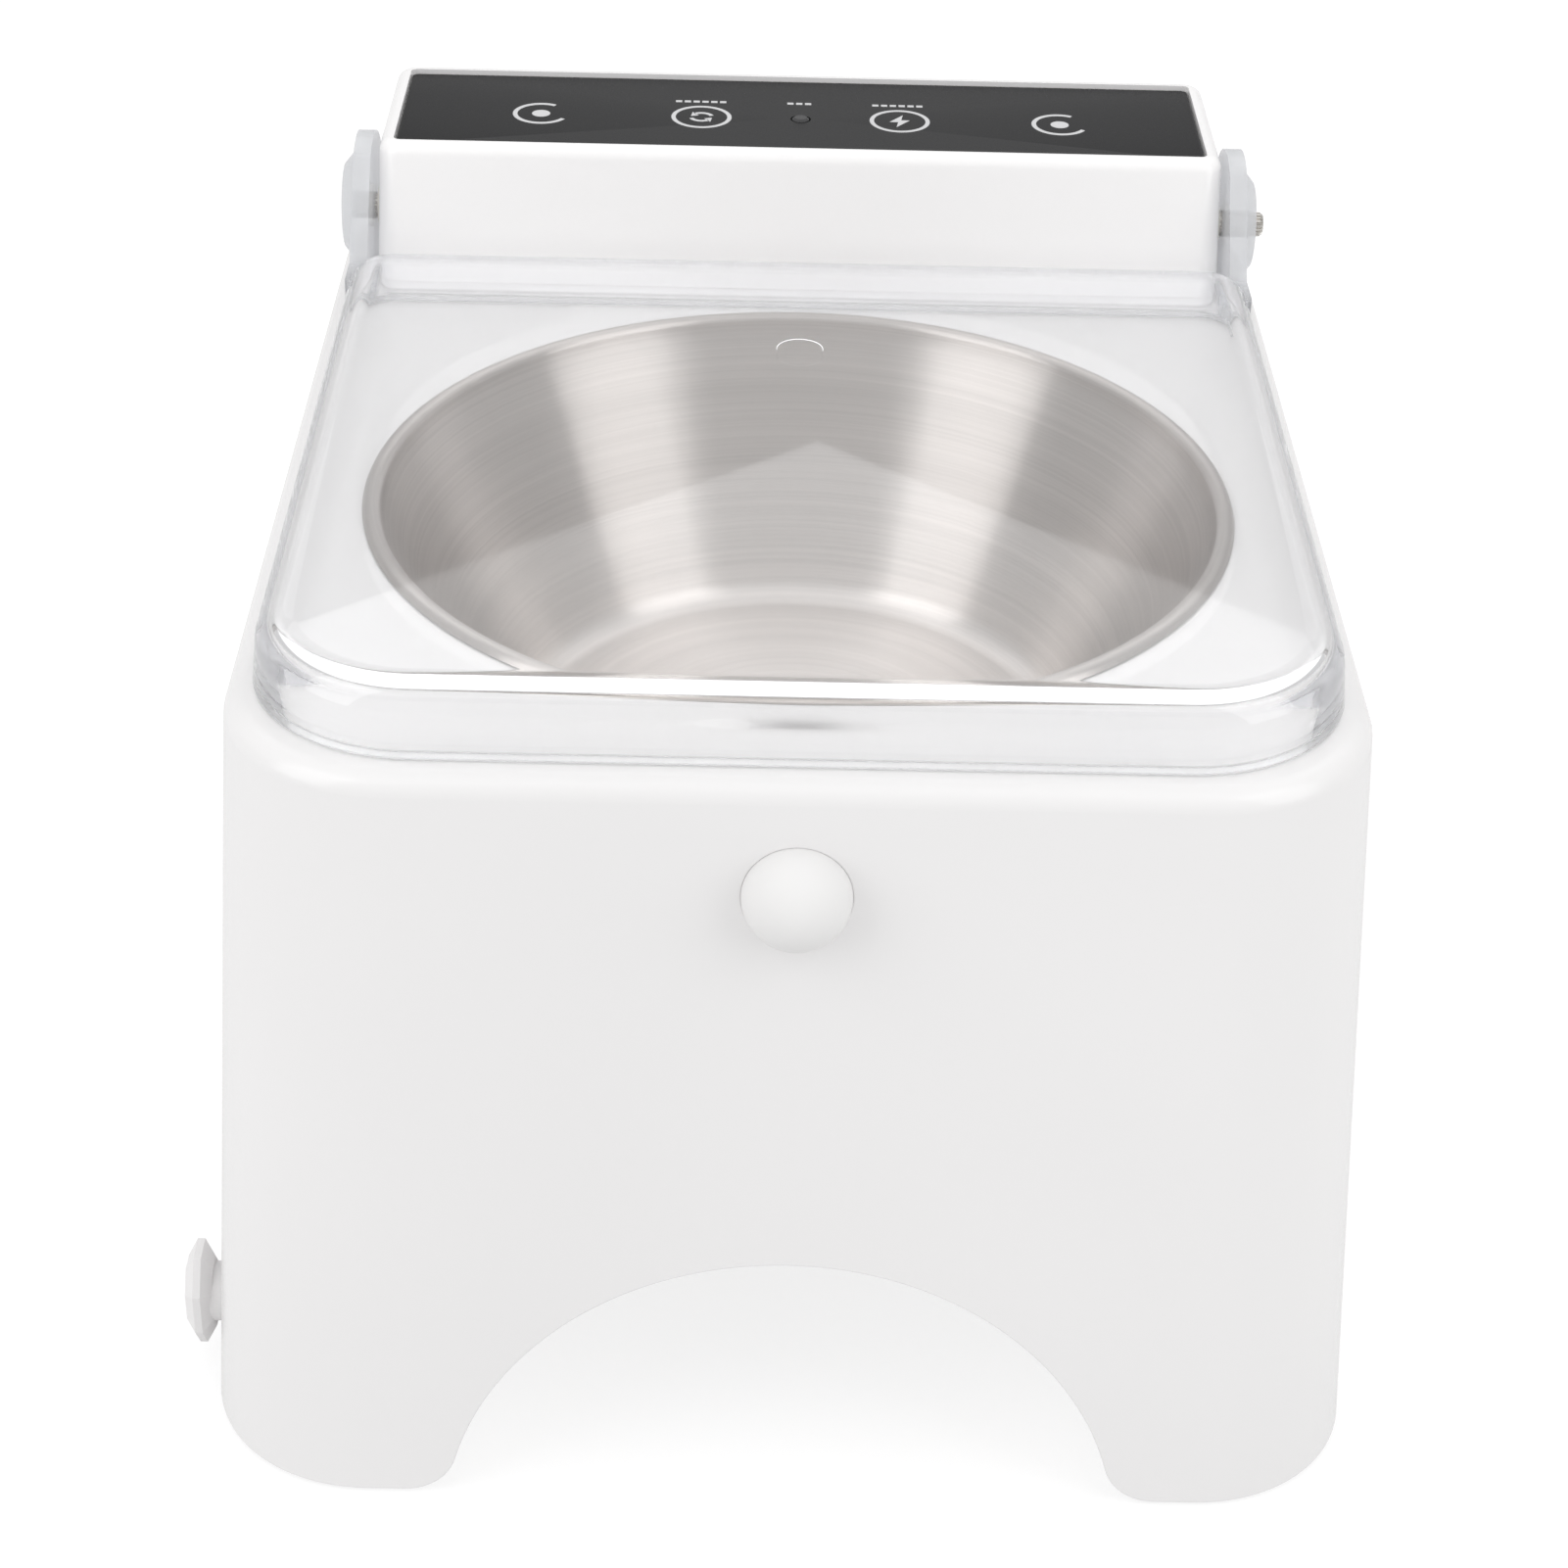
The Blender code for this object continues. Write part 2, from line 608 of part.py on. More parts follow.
def make_drive():
    axis = (0, HINGE_Y, HINGE_Z)
    gear_end = GEAR_X + GEAR_WIDTH
    shaft = ((0, 56.5), (SHAFT_RADIUS - 0.4, 56.5), (SHAFT_RADIUS, 56.9),
             (SHAFT_RADIUS, SHAFT_END_X - 0.5), (SHAFT_RADIUS - 0.5, SHAFT_END_X),
             (0, SHAFT_END_X))
    finish_mesh("output_shaft", turned(shaft, "X", axis, 20), STEEL, origin=axis)
    wheel, hub = gear(OUTPUT_TIP, 14, HINGE_Y, 4.0, GEAR_X - 0.8, gear_end + 0.8)
    output = finish_mesh("output_gear", wheel, NYLON, origin=axis)
    join(output, hub)
    bore = (0, HINGE_Y, HINGE_Z)
    cut(output, rod(SHAFT_RADIUS + GAP, GEAR_X - 3, gear_end + 3, "X", bore, 20))
    wheel, hub = gear(IDLER_TIP, 16, IDLER_Y, 1.5, 57.0, 71.5)
    idler = finish_mesh("idler_gear", wheel, NYLON, origin=(GEAR_X, IDLER_Y, HINGE_Z))
    join(idler, hub)
    wheel, hub = gear(PINION_TIP, 7, PINION_Y, 1.0, 53.5, gear_end + 0.6)
    pinion = finish_mesh("motor_pinion", wheel, BRASS, origin=(GEAR_X, PINION_Y, HINGE_Z))
    join(pinion, hub)
    motor_end = CASE_LEFT_X - GAP
    place = (0, PINION_Y, HINGE_Z)
    start = motor_end - MOTOR_LENGTH
    can = ((0, start), (MOTOR_RADIUS - 0.8, start), (MOTOR_RADIUS, start + 0.8),
           (MOTOR_RADIUS, motor_end - 0.8), (MOTOR_RADIUS - 0.8, motor_end), (1.4, motor_end),
           (1.4, 52.9), (0, 52.9))
    finish_mesh("motor_can", turned(can, "X", place, 24), STEEL)


def make_gear_case():
    """A U-shaped bracket: two plates that carry the gears, on a common foot."""
    front, rear = HINGE_Y - 5.2, 223.0
    low, foot, high = 141.0, 142.5, 158.0
    left, right = CASE_LEFT_X, CASE_RIGHT_X
    outline = [(left, low), (right, low), (right, high), (right - CASE_PLATE, high),
               (right - CASE_PLATE, foot), (left + CASE_PLATE, foot),
               (left + CASE_PLATE, high), (left, high)]
    case = finish_mesh(
        "gear_case", prism([Vector((x, front, z)) for x, z in outline], (0, rear - front, 0)), NYLON
    )
    holes = ((HINGE_Y, SHAFT_RADIUS + GAP), (IDLER_Y, 1.5 + GAP), (PINION_Y, 1.0 + GAP))
    for y, radius in holes:
        cut(case, rod(radius, left - 3, right + 3, "X", (0, y, HINGE_Z), 16))
    low_x = right + GAP
    finish_mesh("limit_switch", block((low_x, 206, 145), (low_x + 5.5, 216, 152), 0.4), DARK)


def make_pivots():
    """Bushes in both side walls of the head, and the plain pin on its left."""
    for side, word in ((-1, "left"), (1, "right")):
        outer_x = side * (HEAD_HALF_BOTTOM + 0.1)
        wall_x = side * (HEAD_HALF_BOTTOM - HEAD_WALL - 0.7)
        inner_x = side * (HEAD_HALF_BOTTOM - HEAD_WALL - 2.3)
        bore = SHAFT_RADIUS + GAP
        profile = ((bore, outer_x), (4.0, outer_x), (4.0, wall_x), (6.0, wall_x),
                   (6.0, inner_x), (bore, inner_x))
        bush = turned(profile, "X", (0, HINGE_Y, HINGE_Z), 20, ring=True)
        finish_mesh(f"hinge_bush_{word}", bush, NYLON)
    pin = ((0, -86.6), (SHAFT_RADIUS - 0.3, -86.6), (SHAFT_RADIUS, -86.3),
           (SHAFT_RADIUS, -76.4), (4.2, -76.4), (4.2, -74.6), (0, -74.6))
    axis = (0, HINGE_Y, HINGE_Z)
    finish_mesh("pivot_pin", turned(pin, "X", axis, 20), STEEL, origin=axis)


# ---------------------------------------------------------------- sensor, power

def half_round(radius, steps=5):
    """(radius, depth) points of the dome from its tip to where its straight neck starts."""
    points = [(0, PIR_WALL_Y - radius)]
    for step in range(1, steps + 1):
        angle = math.radians(90 * step / steps)
        points.append((radius * math.sin(angle), PIR_WALL_Y - radius * math.cos(angle)))
    return points


def make_motion_sensor():
    """A milky dome through the front wall, with its sensor can and board behind."""
    flange_y = 2.7
    inner = DOME_RADIUS - DOME_SHELL
    profile = [*half_round(DOME_RADIUS), (DOME_RADIUS, flange_y),
               (DOME_FLANGE_RADIUS, flange_y), (DOME_FLANGE_RADIUS, flange_y + 1.2),
               (inner, flange_y + 1.2), *reversed(half_round(inner))]
    bm = turned(profile, "Y", (0, 0, PIR_Z), 24)
    finish_mesh("motion_dome", bm, MILKY)
    board_y = 8.4
    can = ((0, 0.6), (4.1, 0.6), (4.6, 1.1), (4.6, board_y - GAP), (0, board_y - GAP))
    finish_mesh("motion_sensor_can", turned(can, "Y", (0, 0, PIR_Z), 20), STEEL)
    board = block((-12, board_y, PIR_Z - 15), (12, board_y + 1.6, PIR_Z + 14))
    finish_mesh("motion_board", board, GREEN)


def make_power():
    """The charging socket, its board and plug on the left; the cell on the right."""
    socket = finish_mesh(
        "charge_socket",
        block((SOCKET_FACE_X, SOCKET_Y - 6.5, SOCKET_Z - 6.5),
              (SOCKET_FACE_X + 13, SOCKET_Y + 6.5, SOCKET_Z + 6.5), 0.6),
        DARK,
    )
    centre = (0, SOCKET_Y, SOCKET_Z)
    bore = rod(PLUG_TIP_RADIUS + GAP, SOCKET_FACE_X - 3, SOCKET_FACE_X + 10, "X", centre, 20)
    cut(socket, bore)
    board_x = SOCKET_FACE_X + 13 + GAP
    board = block((board_x, SOCKET_Y - 10, 5), (board_x + 1.6, SOCKET_Y + 14, 30))
    finish_mesh("charge_board", board, GREEN)
    face, neck = PLUG_FACE_X, PLUG_FACE_X + PLUG_HEAD
    plug = ((0, face), (PLUG_HEAD_RADIUS - 2.2, face), (PLUG_HEAD_RADIUS, face + 1.6),
            (PLUG_HEAD_RADIUS, neck - 1.6), (PLUG_HEAD_RADIUS - 2.2, neck),
            (PLUG_STEM_RADIUS, neck), (PLUG_STEM_RADIUS, SOCKET_FACE_X - GAP),
            (PLUG_TIP_RADIUS, SOCKET_FACE_X - GAP), (PLUG_TIP_RADIUS, SOCKET_FACE_X + 8),
            (0, SOCKET_FACE_X + 8))
    finish_mesh("charge_plug", turned(plug, "X", centre, 24), WHITE, origin=(face, *centre[1:]))
    cell_centre = (CELL_X, 0, CELL_Z)
    end = CELL_Y + CELL_LENGTH
    cell = ((0, CELL_Y), (CELL_RADIUS - 0.6, CELL_Y), (CELL_RADIUS, CELL_Y + 0.6),
            (CELL_RADIUS, end - 0.6), (CELL_RADIUS - 0.6, end), (0, end))
    finish_mesh("battery_cell", turned(cell, "Y", cell_centre, 24), BLUE)
    low = BASE_Z + COVER_WALL + GAP
    cradle = finish_mesh(
        "battery_cradle",
        block((CELL_X - 12, CELL_Y - 3, low), (CELL_X + 12, end + 3, CELL_Z), 0.4),
        NYLON,
    )
    channel = rod(CELL_RADIUS + GAP, CELL_Y - GAP, end + GAP, "Y", cell_centre)
    cut(cradle, channel)


def make_leads():
    """Three leads clipped inside: sensor, charging and battery, up to the board."""
    under_board = BOARD_Z - GAP
    lead("sensor_lead", [
        (-8, 11.8, 108), (-12, 14, 96), (-34, 16, 80), (-66, 48, 72), (-74, 100, 70),
        (-70, 156, 82), (-44, 192, 108), (-22, 203, 132), (-20, 203, under_board)], 1.3, DARK)
    lead("charge_lead", [
        (-78.0, 34, 20), (-70, 43, 26), (-69, 60, 30), (-80, 104, 38), (-80, 146, 48), (-70, 186, 72),
        (-34, 206, 112), (-12, 207, 134), (-10, 207, under_board)], 1.3, DARK)
    lead("battery_lead", [
        (76, 132, 22), (77, 146, 26), (78, 176, 44), (62, 200, 84), (24, 205, 118),
        (9, 205, 136), (8, 205, under_board)], 1.3, RED)


clear_scene()
DATUM = make_datum()
WHITE = make_material("white_abs", (0.86, 0.86, 0.85), 0.28)
CLEAR = make_material("clear_acrylic", (0.93, 0.95, 0.97), 0.05, alpha=0.3)
BRUSHED = make_material("brushed_stainless", (0.62, 0.60, 0.57), 0.32, 1.0)
STEEL = make_material("nickel_steel", (0.55, 0.53, 0.50), 0.30, 1.0)
BRASS = make_material("brass", (0.75, 0.58, 0.28), 0.35, 1.0)
BLACK = make_material("black_panel", (0.045, 0.045, 0.05), 0.30)
DARK = make_material("dark_plastic", (0.03, 0.03, 0.03), 0.45)
MILKY = make_material("milky_plastic", (0.88, 0.88, 0.88), 0.45)
NYLON = make_material("nylon", (0.78, 0.76, 0.70), 0.50)
RUBBER = make_material("grey_rubber", (0.25, 0.25, 0.25), 0.80)
GREEN = make_material("circuit_board", (0.02, 0.20, 0.09), 0.40)
BLUE = make_material("cell_wrap", (0.05, 0.15, 0.45), 0.35)
RED = make_material("red_lead", (0.50, 0.03, 0.03), 0.50)

make_body_shell()
make_base_cover()
make_feet()
make_screws()
make_bowl()
make_lid()
make_head_cover()
make_panel()
make_controls()
make_drive()
make_gear_case()
make_pivots()
make_motion_sensor()
make_power()
make_leads()
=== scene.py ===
"""Looks of the automatic feeding bowl with a clear lid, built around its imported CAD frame.
"""

import math

import bmesh
import bpy
from mathutils import Matrix, Vector


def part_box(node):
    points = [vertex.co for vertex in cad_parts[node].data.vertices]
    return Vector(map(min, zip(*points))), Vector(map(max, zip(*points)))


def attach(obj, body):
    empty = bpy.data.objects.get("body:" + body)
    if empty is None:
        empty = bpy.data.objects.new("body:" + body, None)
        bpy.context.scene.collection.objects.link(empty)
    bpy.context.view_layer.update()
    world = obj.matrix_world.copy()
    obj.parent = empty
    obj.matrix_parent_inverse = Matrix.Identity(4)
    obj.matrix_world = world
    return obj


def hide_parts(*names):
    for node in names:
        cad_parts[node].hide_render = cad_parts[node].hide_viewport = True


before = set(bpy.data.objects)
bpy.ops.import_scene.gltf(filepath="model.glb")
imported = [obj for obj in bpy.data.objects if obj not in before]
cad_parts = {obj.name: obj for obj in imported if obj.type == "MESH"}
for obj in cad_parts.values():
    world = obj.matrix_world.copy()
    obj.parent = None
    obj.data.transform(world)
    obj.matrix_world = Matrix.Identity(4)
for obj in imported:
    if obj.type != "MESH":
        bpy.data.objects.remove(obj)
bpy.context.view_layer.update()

MM = 0.001
GAP = 0.3

# Body shell
DECK_Z = 139.2
BASE_Z = 0.8
BODY_HALF_TOP = 90.0
BODY_HALF_BOTTOM = 98.6
BODY_FRONT_TOP = 0.0
BODY_FRONT_BOTTOM = -6.9
BODY_REAR_TOP = 231.5
BODY_REAR_BOTTOM = 238.4
BODY_CORNER = 28.0
DECK_FILLET = 3.5
WALL = 2.5
ARCH_RADIUS = 57.0
ARCH_CENTRE_Z = -7.4
FOOT_FILLET = 9.0
COVER_WALL = 2.2
WIRE_SLOT_HALF = 34
WIRE_SLOT_Y = (194, 212)

# Bowl
BOWL_Y = 91.5
BOWL_RIM_RADIUS = 74.9
BOWL_RIM_Z = 140.8
BOWL_FLOOR_Z = 92.4
BOWL_WALL_FOOT = (51.0, 97.4)
BOWL_WALL_TOP = (71.6, 139.6)
BOWL_CORNER_RADIUS = 6.0
BOWL_SHEET = 0.8
BOWL_HOLE_RADIUS = 73.1

# Lid
LID_HALF = 86.0
LID_FRONT = 5.0
LID_REAR = 172.0
LID_Z = 139.7
LID_HEIGHT = 12.0
LID_DRAFT = 1.2
LID_FILLET = 5.4
LID_INNER_FILLET = 0.8
LID_FOOT_EXTRA = 1.2
LID_WALL = 2.0
LID_FRONT_CORNER = 27.0
LID_REAR_CORNER = 9.0
HINGE_Y = 188.0
HINGE_Z = 152.5
EAR_INNER_X = 82.3
EAR_OUTER_X = 85.6
EAR_TOP_RADIUS = 14.4
EAR_SWING_RADIUS = 12.6
EAR_ROOT_Y = 160.0
BOSS_RADIUS = 8.2
BOSS_ROOT_RADIUS = 12.0
BOSS_FACE_X = 88.2
GATE_Y = 128.0
GATE_RADIUS = 4.1
SHAFT_RADIUS = 2.33
SHAFT_END_X = 90.5
KNURL_TEETH = 18
KNURL_DEPTH = 0.32

# Head
HEAD_HALF_BOTTOM = 81.6
HEAD_HALF_TOP = 81.0
HEAD_FRONT_BOTTOM = 175.0
HEAD_FRONT_TOP = 182.7
HEAD_REAR_BOTTOM = 227.5
HEAD_REAR_TOP = 226.1
HEAD_TOP_Z = 167.2
HEAD_CORNER = 4.0
HEAD_FILLET = 2.2
HEAD_WALL = 2.0
PANEL_RIM = 2.7
PANEL_THICKNESS = 0.7
PANEL_FLOOR_Z = 165.3
HEAD_CEILING_Z = 163.5
KEY_Y = 202.8
KEY_RADIUS = 1.7
LED_X = 19.5
LED_RADIUS = 5.0
HINGE_HOLE_RADIUS = 4.3

# Printed marks on the panel
MARK_Z = PANEL_FLOOR_Z + GAP + PANEL_THICKNESS
MARK_HEIGHT = 0.04
END_MARK_X = 51.0
CAPTION_Y = 211.0
CAPTION_PITCH = 1.75
DASH_LENGTH = 1.25
DASH_HALF_WIDTH = 0.5

# Front sensor, side plug and feet
PIR_Z = 120.0
PIR_WALL_Y = -0.8
DOME_RADIUS = 8.6
DOME_SHELL = 1.0
DOME_SNUG = 0.04
DOME_FLANGE_RADIUS = 10.5
DOME_FLANGE_Y = 2.7
DOME_FLANGE_THICKNESS = 1.2
SOCKET_Y = 28.0
SOCKET_Z = 14.0
SOCKET_FACE_X = -94.6
PLUG_FACE_X = -104.5
PLUG_HEAD = 4.7
PLUG_HEAD_RADIUS = 9.5
PLUG_HEAD_NARROW = 0.72
PLUG_SIDES = 8
PLUG_STEM_RADIUS = 5.25
PLUG_TIP_RADIUS = 2.9
PLUG_TIP_LENGTH = 8
FOOT_RADIUS = 6.0
BASE_SCREW_Z = 4.7
BASE_SCREW_LENGTH = 9.0

# For each corner: the X of its leg, the Y of its foot pad and the Y of its screw
CORNERS = {
    "front_left": (-78.0, 18.0, 50.0),
    "front_right": (78.0, 18.0, 50.0),
    "rear_left": (-78.0, 214.0, 190.0),
    "rear_right": (78.0, 214.0, 190.0),
}

# Camera: metres, degrees, and the lens in millimetres on a sensor of that width
CAMERA_PLACE = (-0.00519, -0.53890, 0.40837)
CAMERA_PITCH = 32.32
CAMERA_YAW = 0.77
CAMERA_ROLL = 1.56
CAMERA_LENS = 76.99
SENSOR_WIDTH = 36.0

# Light: metres, watts and degrees
WORLD_STRENGTH = 0.66
TOP_PLACE = (0, -0.35, 1.75)
TOP_TARGET = (0, 0.02, 0)
TOP_SIZE = (2.4, 2.0)
TOP_POWER = 6.0
SIDE_REACH = 1.35
SIDE_AZIMUTH = 58.5
SIDE_Z = 0.85
SIDE_TARGET = (0, 0, 0.15)
SIDE_SIZE = (0.92, 1.60)
SIDE_POWER = 7.5
SIDE_BALANCE = 0.05
REAR_SIZE = (1.3, 1.0)
REAR_DISTANCE = 1.30
REAR_EDGE_Z = 0.811
REAR_EDGE_X = 0.0345
REAR_TILT = 20.5
REAR_LEAN = 35.0
REAR_POWER = 2.6
FLOOR_HALF = 16.0
FLOOR_GLOW = 0.45
FLOOR_GLOW_SEEN = 0.68

# Brushed steel: noise per metre across the brush lines and along them, and how much
# brighter the middle of the bowl is painted, as painted light, between two radii in metres
BRUSH_FINE = 2100.0
BRUSH_COARSE = 420.0
BRUSH_ALONG = 7.0
PAINTED_LIGHT_TONE = 1.48
PAINTED_LIGHT_RADII = (0.041, 0.053)

# Clear plastic: shares from 0 to 1. A pair ending in _X, _Y or _RISE gives the millimetres
# where a change starts and where it is complete. The painted grey shade at the foot is weaker at
# the front.
ACRYLIC_IOR = 1.49
# The ears are painted partly a flat light grey: painted shade on the same clear plastic
EAR_SHADE_SHARE = 0.6
EAR_FROM_Y = (162.0, 169.0)
EAR_FROM_X = (81.0, 82.2)
# The clear plastic is painted darker on the lid's side walls: painted shade
LID_EDGE_SHADE = 0.84
LID_EDGE_SHADE_X = (80.5, 81.7)
LID_REAR_FADE = 0.5
LID_REAR_Y = (162.0, 166.0)
LID_SIDE_X = (78.0, 80.5)
# Shares of painted grey shade along the lid's bottom rim
LID_FOOT_SHADE = (0.45, 0.85)
LID_FOOT_RISE = (0.1, 0.45)
MOST_BOUNCES = 5.0

# Angle in degrees above which an edge is shaded sharp
SHARP_ANGLE = 32

bowl_low, bowl_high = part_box("bowl")
ORIGIN = Vector(((bowl_low.x + bowl_high.x) / 2, (bowl_low.y + bowl_high.y) / 2 - BOWL_Y * MM, 0))

# How a shape that is made upright is turned to lie along each axis
LAY_ALONG = {
    "X": Matrix.Rotation(math.radians(90), 4, "Y"),
    "Y": Matrix.Rotation(math.radians(-90), 4, "X"),
    "Z": Matrix.Identity(4),
}


# ---------------------------------------------------------------- camera and light

def place(x, y, z):
    """A product point in world metres."""
    return ORIGIN + Vector((x, y, z)) * MM


def make_camera():
    """The camera of the photograph's viewpoint, a little above and in front."""
    pitch = math.radians(CAMERA_PITCH)
    yaw = math.radians(CAMERA_YAW)
    roll = math.radians(CAMERA_ROLL)
    look = Vector((math.cos(pitch) * math.sin(yaw), math.cos(pitch) * math.cos(yaw),
                   -math.sin(pitch)))
    right = Vector((math.cos(yaw), -math.sin(yaw), 0))
    up = right.cross(look)
    tilted_right = right * math.cos(roll) + up * math.sin(roll)
    tilted_up = up * math.cos(roll) - right * math.sin(roll)
    data = bpy.data.cameras.new("camera")
    data.sensor_width = SENSOR_WIDTH
    data.lens = CAMERA_LENS
    data.clip_start, data.clip_end = 0.01, 30
    camera = bpy.data.objects.new("camera", data)
    turn = Matrix((tilted_right, tilted_up, -look)).transposed().to_4x4()
    camera.matrix_world = Matrix.Translation(CAMERA_PLACE) @ turn
    bpy.context.scene.collection.objects.link(camera)
    bpy.context.scene.camera = camera


def soft_light(name, where, target, size, power):
    """A rectangular softbox at one place, aimed at another."""
    data = bpy.data.lights.new(name, "AREA")
    data.shape = "RECTANGLE"
    data.size, data.size_y = size
    data.energy = power
    lamp = bpy.data.objects.new(name, data)
    lamp.location = where
    aim = Vector(target) - Vector(where)
    lamp.rotation_mode = "QUATERNION"
    lamp.rotation_quaternion = aim.to_track_quat("-Z", "Y")
    bpy.context.scene.collection.objects.link(lamp)
    return lamp


def rear_panel(name, side):
    """One of two rear panels. Their lower edges meet in a shallow V that the lid mirrors."""
    lean, tilt = math.radians(REAR_LEAN), math.radians(REAR_TILT)
    rise = Vector((0, -math.sin(lean), math.cos(lean)))
    along = Vector((side * math.cos(tilt), 0, 0)) + rise * math.sin(tilt)
    upward = Vector((-side * math.sin(tilt), 0, 0)) + rise * math.cos(tilt)
    width, height = REAR_SIZE
    corner = Vector((REAR_EDGE_X, REAR_DISTANCE, REAR_EDGE_Z))
    middle = corner + along * width / 2 + upward * height / 2
    lamp = soft_light(name, middle, (0, 0, 0), REAR_SIZE, REAR_POWER)
    across = along * side
    back = across.cross(upward)
    if back.y < 0:
        across, back = -across, -back
    lamp.matrix_world = (Matrix.Translation(middle)
                         @ Matrix((across, upward, back)).transposed().to_4x4())


def make_studio():
    """White surroundings, one large lamp above, four softboxes and the pale floor."""
    world = bpy.data.worlds.new("studio")
    world.use_nodes = True
    sky = world.node_tree.nodes["Background"]
    sky.inputs["Color"].default_value = (1.0, 1.0, 1.0, 1.0)
    sky.inputs["Strength"].default_value = WORLD_STRENGTH
    bpy.context.scene.world = world
    bpy.context.scene.view_settings.view_transform = "Standard"
    soft_light("top_light", TOP_PLACE, TOP_TARGET, TOP_SIZE, TOP_POWER)
    angle = math.radians(SIDE_AZIMUTH)
    for side, word in ((-1, "left"), (1, "right")):
        where = (side * SIDE_REACH * math.sin(angle), -SIDE_REACH * math.cos(angle), SIDE_Z)
        power = SIDE_POWER * (1 - side * SIDE_BALANCE)
        soft_light(f"{word}_softbox", where, SIDE_TARGET, SIDE_SIZE, power)
        rear_panel(f"{word}_rear_panel", side)

    bm = bmesh.new()
    bmesh.ops.create_grid(bm, x_segments=8, y_segments=8, size=FLOOR_HALF)
    mesh = bpy.data.meshes.new("floor")
    bm.to_mesh(mesh)
    bm.free()
    mesh.materials.append(floor_paint())
    floor = bpy.data.objects.new("floor", mesh)
    bpy.context.scene.collection.objects.link(floor)


# ---------------------------------------------------------------- materials

class Paint:
    """A node material around one Principled shader, with short calls for its nodes."""

    def __init__(self, name):
        self.material = bpy.data.materials.new(name)
        self.material.use_nodes = True
        self.tree = self.material.node_tree
        self.shader = self.tree.nodes["Principled BSDF"]
        self.place = self.add("ShaderNodeTexCoord").outputs["Object"]

    def add(self, kind, **sockets):
        made = self.tree.nodes.new(kind)
        for name, value in sockets.items():
            self.feed(made.inputs[name.replace("_", " ")], value)
        return made

    def feed(self, socket, value):
        if isinstance(value, bpy.types.NodeSocket):
            self.tree.links.new(value, socket)
        else:
            socket.default_value = value

    def set(self, **sockets):
        for name, value in sockets.items():
            self.feed(self.shader.inputs[name.replace("_", " ")], value)

    def noise(self, scale, detail=3.0, where=None, roughness=0.5):
        made = self.add("ShaderNodeTexNoise", Scale=scale, Detail=detail, Roughness=roughness)
        self.feed(made.inputs["Vector"], where or self.place)
        return made.outputs["Fac"]

    def spread(self, value, low, high, start=0.3, end=0.7):
        made = self.add("ShaderNodeMapRange", Value=value)
        for name, number in (("From Min", start), ("From Max", end), ("To Min", low),
                             ("To Max", high)):
            made.inputs[name].default_value = number
        return made.outputs["Result"]

    def between(self, value, first, second, start=0.3, end=0.7):
        ramp = self.add("ShaderNodeValToRGB", Fac=value)
        ramp.color_ramp.elements[0].position = start
        ramp.color_ramp.elements[1].position = end
        ramp.color_ramp.elements[0].color = (*first, 1)
        ramp.color_ramp.elements[1].color = (*second, 1)
        return ramp.outputs["Color"]

    def mix(self, share, first, second):
        made = self.add("ShaderNodeMixShader", Fac=share)
        self.tree.links.new(first, made.inputs[1])
        self.tree.links.new(second, made.inputs[2])
        return made.outputs[0]

    def maths(self, operation, first, second=0.0):
        made = self.add("ShaderNodeMath")
        made.operation = operation
        self.feed(made.inputs[0], first)
        self.feed(made.inputs[1], second)
        return made.outputs[0]

    def bump(self, height, distance, strength=1.0, under=None):
        made = self.add("ShaderNodeBump", Height=height, Distance=distance, Strength=strength)
        if under:
            self.feed(made.inputs["Normal"], under)
        return made.outputs["Normal"]


def shade(colour, share):
    return tuple(min(1.0, part * share) for part in colour)


def moulded(name, colour, roughness, grain=1400.0, grain_depth=0.00001, wave=0.00006,
            vary=0.015, **more):
    """Moulded plastic: a fine grain, a faint long wave from the tool, small colour drift."""
    paint = Paint(name)
    drift = paint.noise(9.0, 2.0)
    fine = paint.noise(grain, 2.0)
    long_wave = paint.noise(22.0, 1.0)
    paint.set(
        Base_Color=paint.between(drift, shade(colour, 1 - vary), shade(colour, 1 + vary)),
        Roughness=paint.spread(fine, roughness - 0.03, roughness + 0.03),
        Normal=paint.bump(fine, grain_depth, 0.6, paint.bump(long_wave, wave, 0.5)),
        **more,
    )
    return paint.material


def floor_paint():
    """Matt pale floor that glows a little, so that it meets the white surroundings."""
    paint = Paint("floor_paint")
    drift = paint.noise(3.0)
    seen = paint.add("ShaderNodeLightPath").outputs["Is Camera Ray"]
    paint.set(
        Base_Color=paint.between(drift, (0.35, 0.35, 0.35), (0.37, 0.37, 0.37)),
        Roughness=0.9,
        Specular_IOR_Level=0.1,
        Emission_Color=(1.0, 1.0, 1.0, 1.0),
        Emission_Strength=paint.spread(seen, FLOOR_GLOW, FLOOR_GLOW_SEEN, 0.0, 1.0),
    )
    return paint.material


